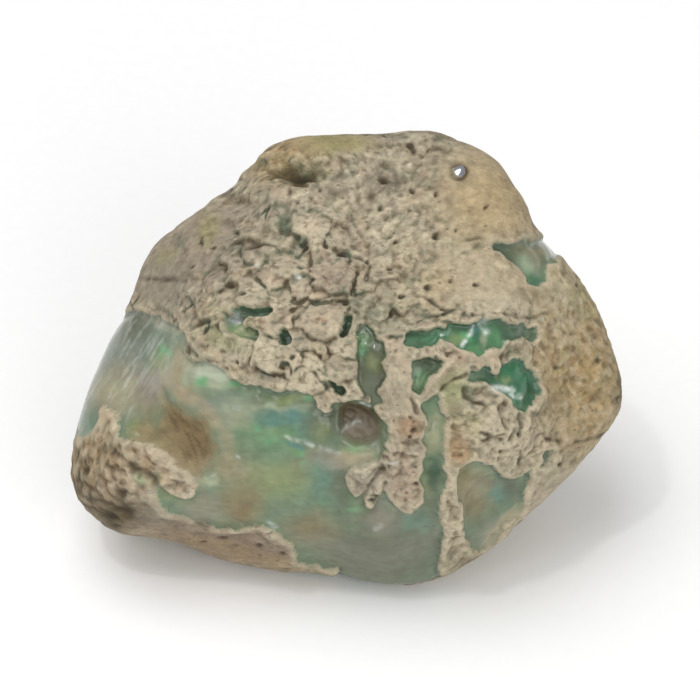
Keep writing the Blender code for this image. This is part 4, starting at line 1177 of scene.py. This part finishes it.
# Painted shade along the gaps between plates.
gap_floor = add_node(tree, "MapRange", (kept["plate_gap"]["Fac"], -0.16, 0.0, 0.2, 1.0))[0]
gap_lip = add_node(tree, "MapRange", (kept["plate_gap"]["Fac"], 0.0, 0.07, 0.85, 0.0))[0]
gap_shade_line = add_node(tree, "Math", (gap_floor, gap_lip), operation="MINIMUM")[0]
clay_shade = gap_shade_line
for mark, mixing in ((hairline, "MAXIMUM"), (pore, "MAXIMUM"), (clay_share, "MULTIPLY")):
    clay_shade = add_node(tree, "Math", (clay_shade, mark), operation=mixing)[0]
print("hairline cells, mm:", FLAKE_MM, "pore cells, mm:", PORE_MM)

# %% [markdown]
# The rind is a dry volcanic clay, matt and sandy: each grain is a little paler or darker than the next, and
# grains cling together in granules. They are drawn a little coarser than real silt, or they would be lost.
# The opal's colours shimmer softly, drawn out sideways like the layers it settled in. The painted shade of
# crevices, gaps, cracks and pits goes over both, and the bead on the dome is a mirror-grey grain.

# %%  Colour of clay and opal
GRAIN_MM = 0.18
GRANULE_MM = 0.5
SHIMMER_MM = 0.45
CREVICE_SHADE = "#2B2416"
CREVICE_SHADE_SHARE = 0.62

grains = add_node(tree, "TexVoronoi", {"Vector": place, "Scale": 1.0 / (GRAIN_MM * MM)})
granules = add_node(tree, "TexVoronoi", {"Vector": bent, "Scale": 1.0 / (GRANULE_MM * MM)})["Color"]
clay_tone = add_node(tree, "MapRange", (grains["Color"], 0.0, 1.0, 0.92, 1.08))[0]
for source, low, high, dark_tone, pale_tone in (
        (flake_height, 0.0, 1.0, 0.92, 1.10), (granules, 0.0, 1.0, 0.93, 1.08), (fray, 0.3, 0.7, 0.90, 1.08)):
    tone_step = add_node(tree, "MapRange", (source, low, high, dark_tone, pale_tone))[0]
    clay_tone = add_node(tree, "Math", (clay_tone, tone_step), operation="MULTIPLY")[0]
clay_stain = kept["clay_stain"]["Color"]
clay = add_node(tree, "VectorMath", {0: clay_stain, "Scale": clay_tone}, operation="SCALE")[0]
layered = add_node(tree, "Mapping", {"Vector": place, "Scale": (0.5, 1.0, 1.2)})[0]
shimmer = add_node(tree, "TexNoise", {"Vector": layered, "Scale": 1.0 / (SHIMMER_MM * MM), "Detail": 2.0})[0]
gem_tone = add_node(tree, "MapRange", (shimmer, 0.3, 0.7, 0.93, 1.09))[0]
gem = add_node(tree, "VectorMath", {0: kept["opal_stain"]["Color"], "Scale": gem_tone}, operation="SCALE")[0]
# The painted shade of crevices, and the kept shade, darken the colour.
crevice_shade = add_node(tree, "Math", (clay_shade, CREVICE_SHADE_SHARE), operation="MULTIPLY")[0]
crevice_shade = add_node(tree, "Math", (crevice_shade, kept["shade"]["Fac"]), operation="MAXIMUM")[0]
color = clay
for share, over in ((opal_share, gem), (bead_share, hex_linear(PIGMENTS["mirror grey"])),
                    (crevice_shade, hex_linear(CREVICE_SHADE))):
    color = add_node(tree, "Mix", {0: share, 6: color, 7: over}, data_type="RGBA")[2]
tree.links.new(color, shader.inputs["Base Color"])
print("sand grains, mm:", GRAIN_MM)

# %% [markdown]
# Opal is hydrous silica glass: smooth, with an index of refraction of 1.45, milky because light scatters just
# under its skin, and part of it passes straight through. Clay is about as rough as a surface gets. Where a
# clay film or the fibrous bowl covers the opal, its gloss is gone. The grain's bump is only for what is finer
# than the mesh: sand grains, granules, hairlines and pores.

# %%  Gloss, depth and grain
OPAL_IOR = 1.45
SCATTER_MM = 0.4
SCATTER_SHARE = 0.45
CLEAR_SHARE = 0.30
CLAY_ROUGHNESS = 0.85
OPAL_ROUGHNESS = 0.13
GRAIN_HEIGHT_MM = 0.085
GLASS_BUMP = 0.05
CLAY_BUMP = 0.9

clearness = add_node(tree, "MapRange", (kept["dull"]["Fac"], 0.0, 1.0, 1.0, 0.0))[0]
glassy = add_node(tree, "Math", (opal_share, clearness), operation="MULTIPLY")[0]
gloss = add_node(tree, "Math", (glassy, bead_share), operation="MAXIMUM")[0]
rough = add_node(tree, "MapRange", (gloss, 0.0, 1.0, CLAY_ROUGHNESS, OPAL_ROUGHNESS))[0]
milk = add_node(tree, "Math", (opal_share, SCATTER_SHARE), operation="MULTIPLY")[0]
clear = add_node(tree, "Math", (glassy, CLEAR_SHARE), operation="MULTIPLY")[0]
sand = add_node(tree, "TexNoise", {"Vector": place, "Scale": 1.0 / (GRAIN_MM * MM), "Detail": 3.0})[0]
sand = add_node(tree, "Math", (grains["Distance"], -0.5, sand), operation="MULTIPLY_ADD")[0]
flaked = add_node(tree, "Math", (flake_height, kept["flaky"]["Fac"]), operation="MULTIPLY")[0]
for lump in (flaked, granules):
    sand = add_node(tree, "Math", (lump, 0.5, sand), operation="MULTIPLY_ADD")[0]
sand = add_node(tree, "Math", (sand, clay_shade), operation="SUBTRACT")[0]
grain_strength = add_node(tree, "MapRange", (gloss, 0.0, 1.0, CLAY_BUMP, GLASS_BUMP))[0]
grain_bump = add_node(tree, "Bump", {
    "Height": sand, "Strength": grain_strength, "Distance": GRAIN_HEIGHT_MM * MM})["Normal"]
for socket, source in (("Roughness", rough), ("Subsurface Weight", milk), ("Transmission Weight", clear),
                       ("Metallic", bead_share), ("Normal", grain_bump)):
    tree.links.new(source, shader.inputs[socket])
shader.inputs["Subsurface Radius"].default_value = (0.9, 1.2, 1.0)
shader.inputs["Subsurface Scale"].default_value = SCATTER_MM * MM
shader.inputs["IOR"].default_value = OPAL_IOR
print("nodes in the finish:", len(tree.nodes))

# %% [markdown]
# The skin becomes one object in the root body, and the solid is hidden. It is shaded smooth:
# its corners are a tenth of a millimetre apart, so every edge worth seeing is really there.

# %%  Put the stone in its place
skin_mesh.shade_smooth()
skin_mesh.materials.append(finish)
stone = bpy.data.objects.new("opal_stone", skin_mesh)
bpy.context.scene.collection.objects.link(stone)
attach(stone, "root")
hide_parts(NODE)
print("triangles in the stone:", 2 * len(skin_mesh.polygons))

# %% [markdown]
# The stone lies on a plain near-white floor under large soft lights, as small finds are shown: a broad key
# from the upper left, a wide fill from the front and an even pale surround.

# %%  Floor and light
FLOOR_SIZE = 1.5
CARD_FIBRES = 900.0
SURROUND_STRENGTH = 0.48
LIGHT_AIM = Vector((0.0, 0.0, 12.0 * MM))


def make_floor():
    """A wide flat sheet of near-white card."""
    sheet = bmesh.new()
    bmesh.ops.create_grid(sheet, x_segments=8, y_segments=8, size=FLOOR_SIZE)
    mesh = bpy.data.meshes.new("floor")
    sheet.to_mesh(mesh)
    sheet.free()
    card = bpy.data.materials.new("white_card")
    card.use_nodes = True
    tree = card.node_tree
    shader = tree.nodes["Principled BSDF"]
    place = add_node(tree, "TexCoord")["Object"]
    fibre = add_node(tree, "TexNoise", {"Vector": place, "Scale": CARD_FIBRES, "Detail": 2.0})[0]
    tint = add_node(tree, "MapRange", (fibre, 0.0, 1.0, 0.93, 0.96))[0]
    tree.links.new(tint, shader.inputs["Base Color"])
    shader.inputs["Roughness"].default_value = 0.9
    mesh.materials.append(card)
    floor = bpy.data.objects.new("floor", mesh)
    bpy.context.scene.collection.objects.link(floor)


def soft_light(name, stand, size, power):
    """A square area light that looks at the stone, with its place in metres."""
    lamp = bpy.data.lights.new(name, "AREA")
    lamp.size = size
    lamp.energy = power
    light = bpy.data.objects.new(name, lamp)
    bpy.context.scene.collection.objects.link(light)
    light.location = stand
    light.rotation_euler = (LIGHT_AIM - light.location).to_track_quat("-Z", "Y").to_euler()


make_floor()
soft_light("key_light", (-0.14, 0.02, 0.46), 0.40, 1.25)
soft_light("spark_light", (-0.14, -0.10, 0.46), 0.03, 0.20)
soft_light("fill_light", (0.18, -0.42, 0.22), 0.36, 1.0)
surround = bpy.data.worlds.new("pale_surround")
surround.use_nodes = True
pale = surround.node_tree.nodes["Background"].inputs
pale["Color"].default_value = (1.0, 1.0, 1.0, 1.0)
pale["Strength"].default_value = SURROUND_STRENGTH
bpy.context.scene.world = surround
bpy.context.scene.view_settings.view_transform = "Standard"
print("lights:", len(bpy.data.lights))
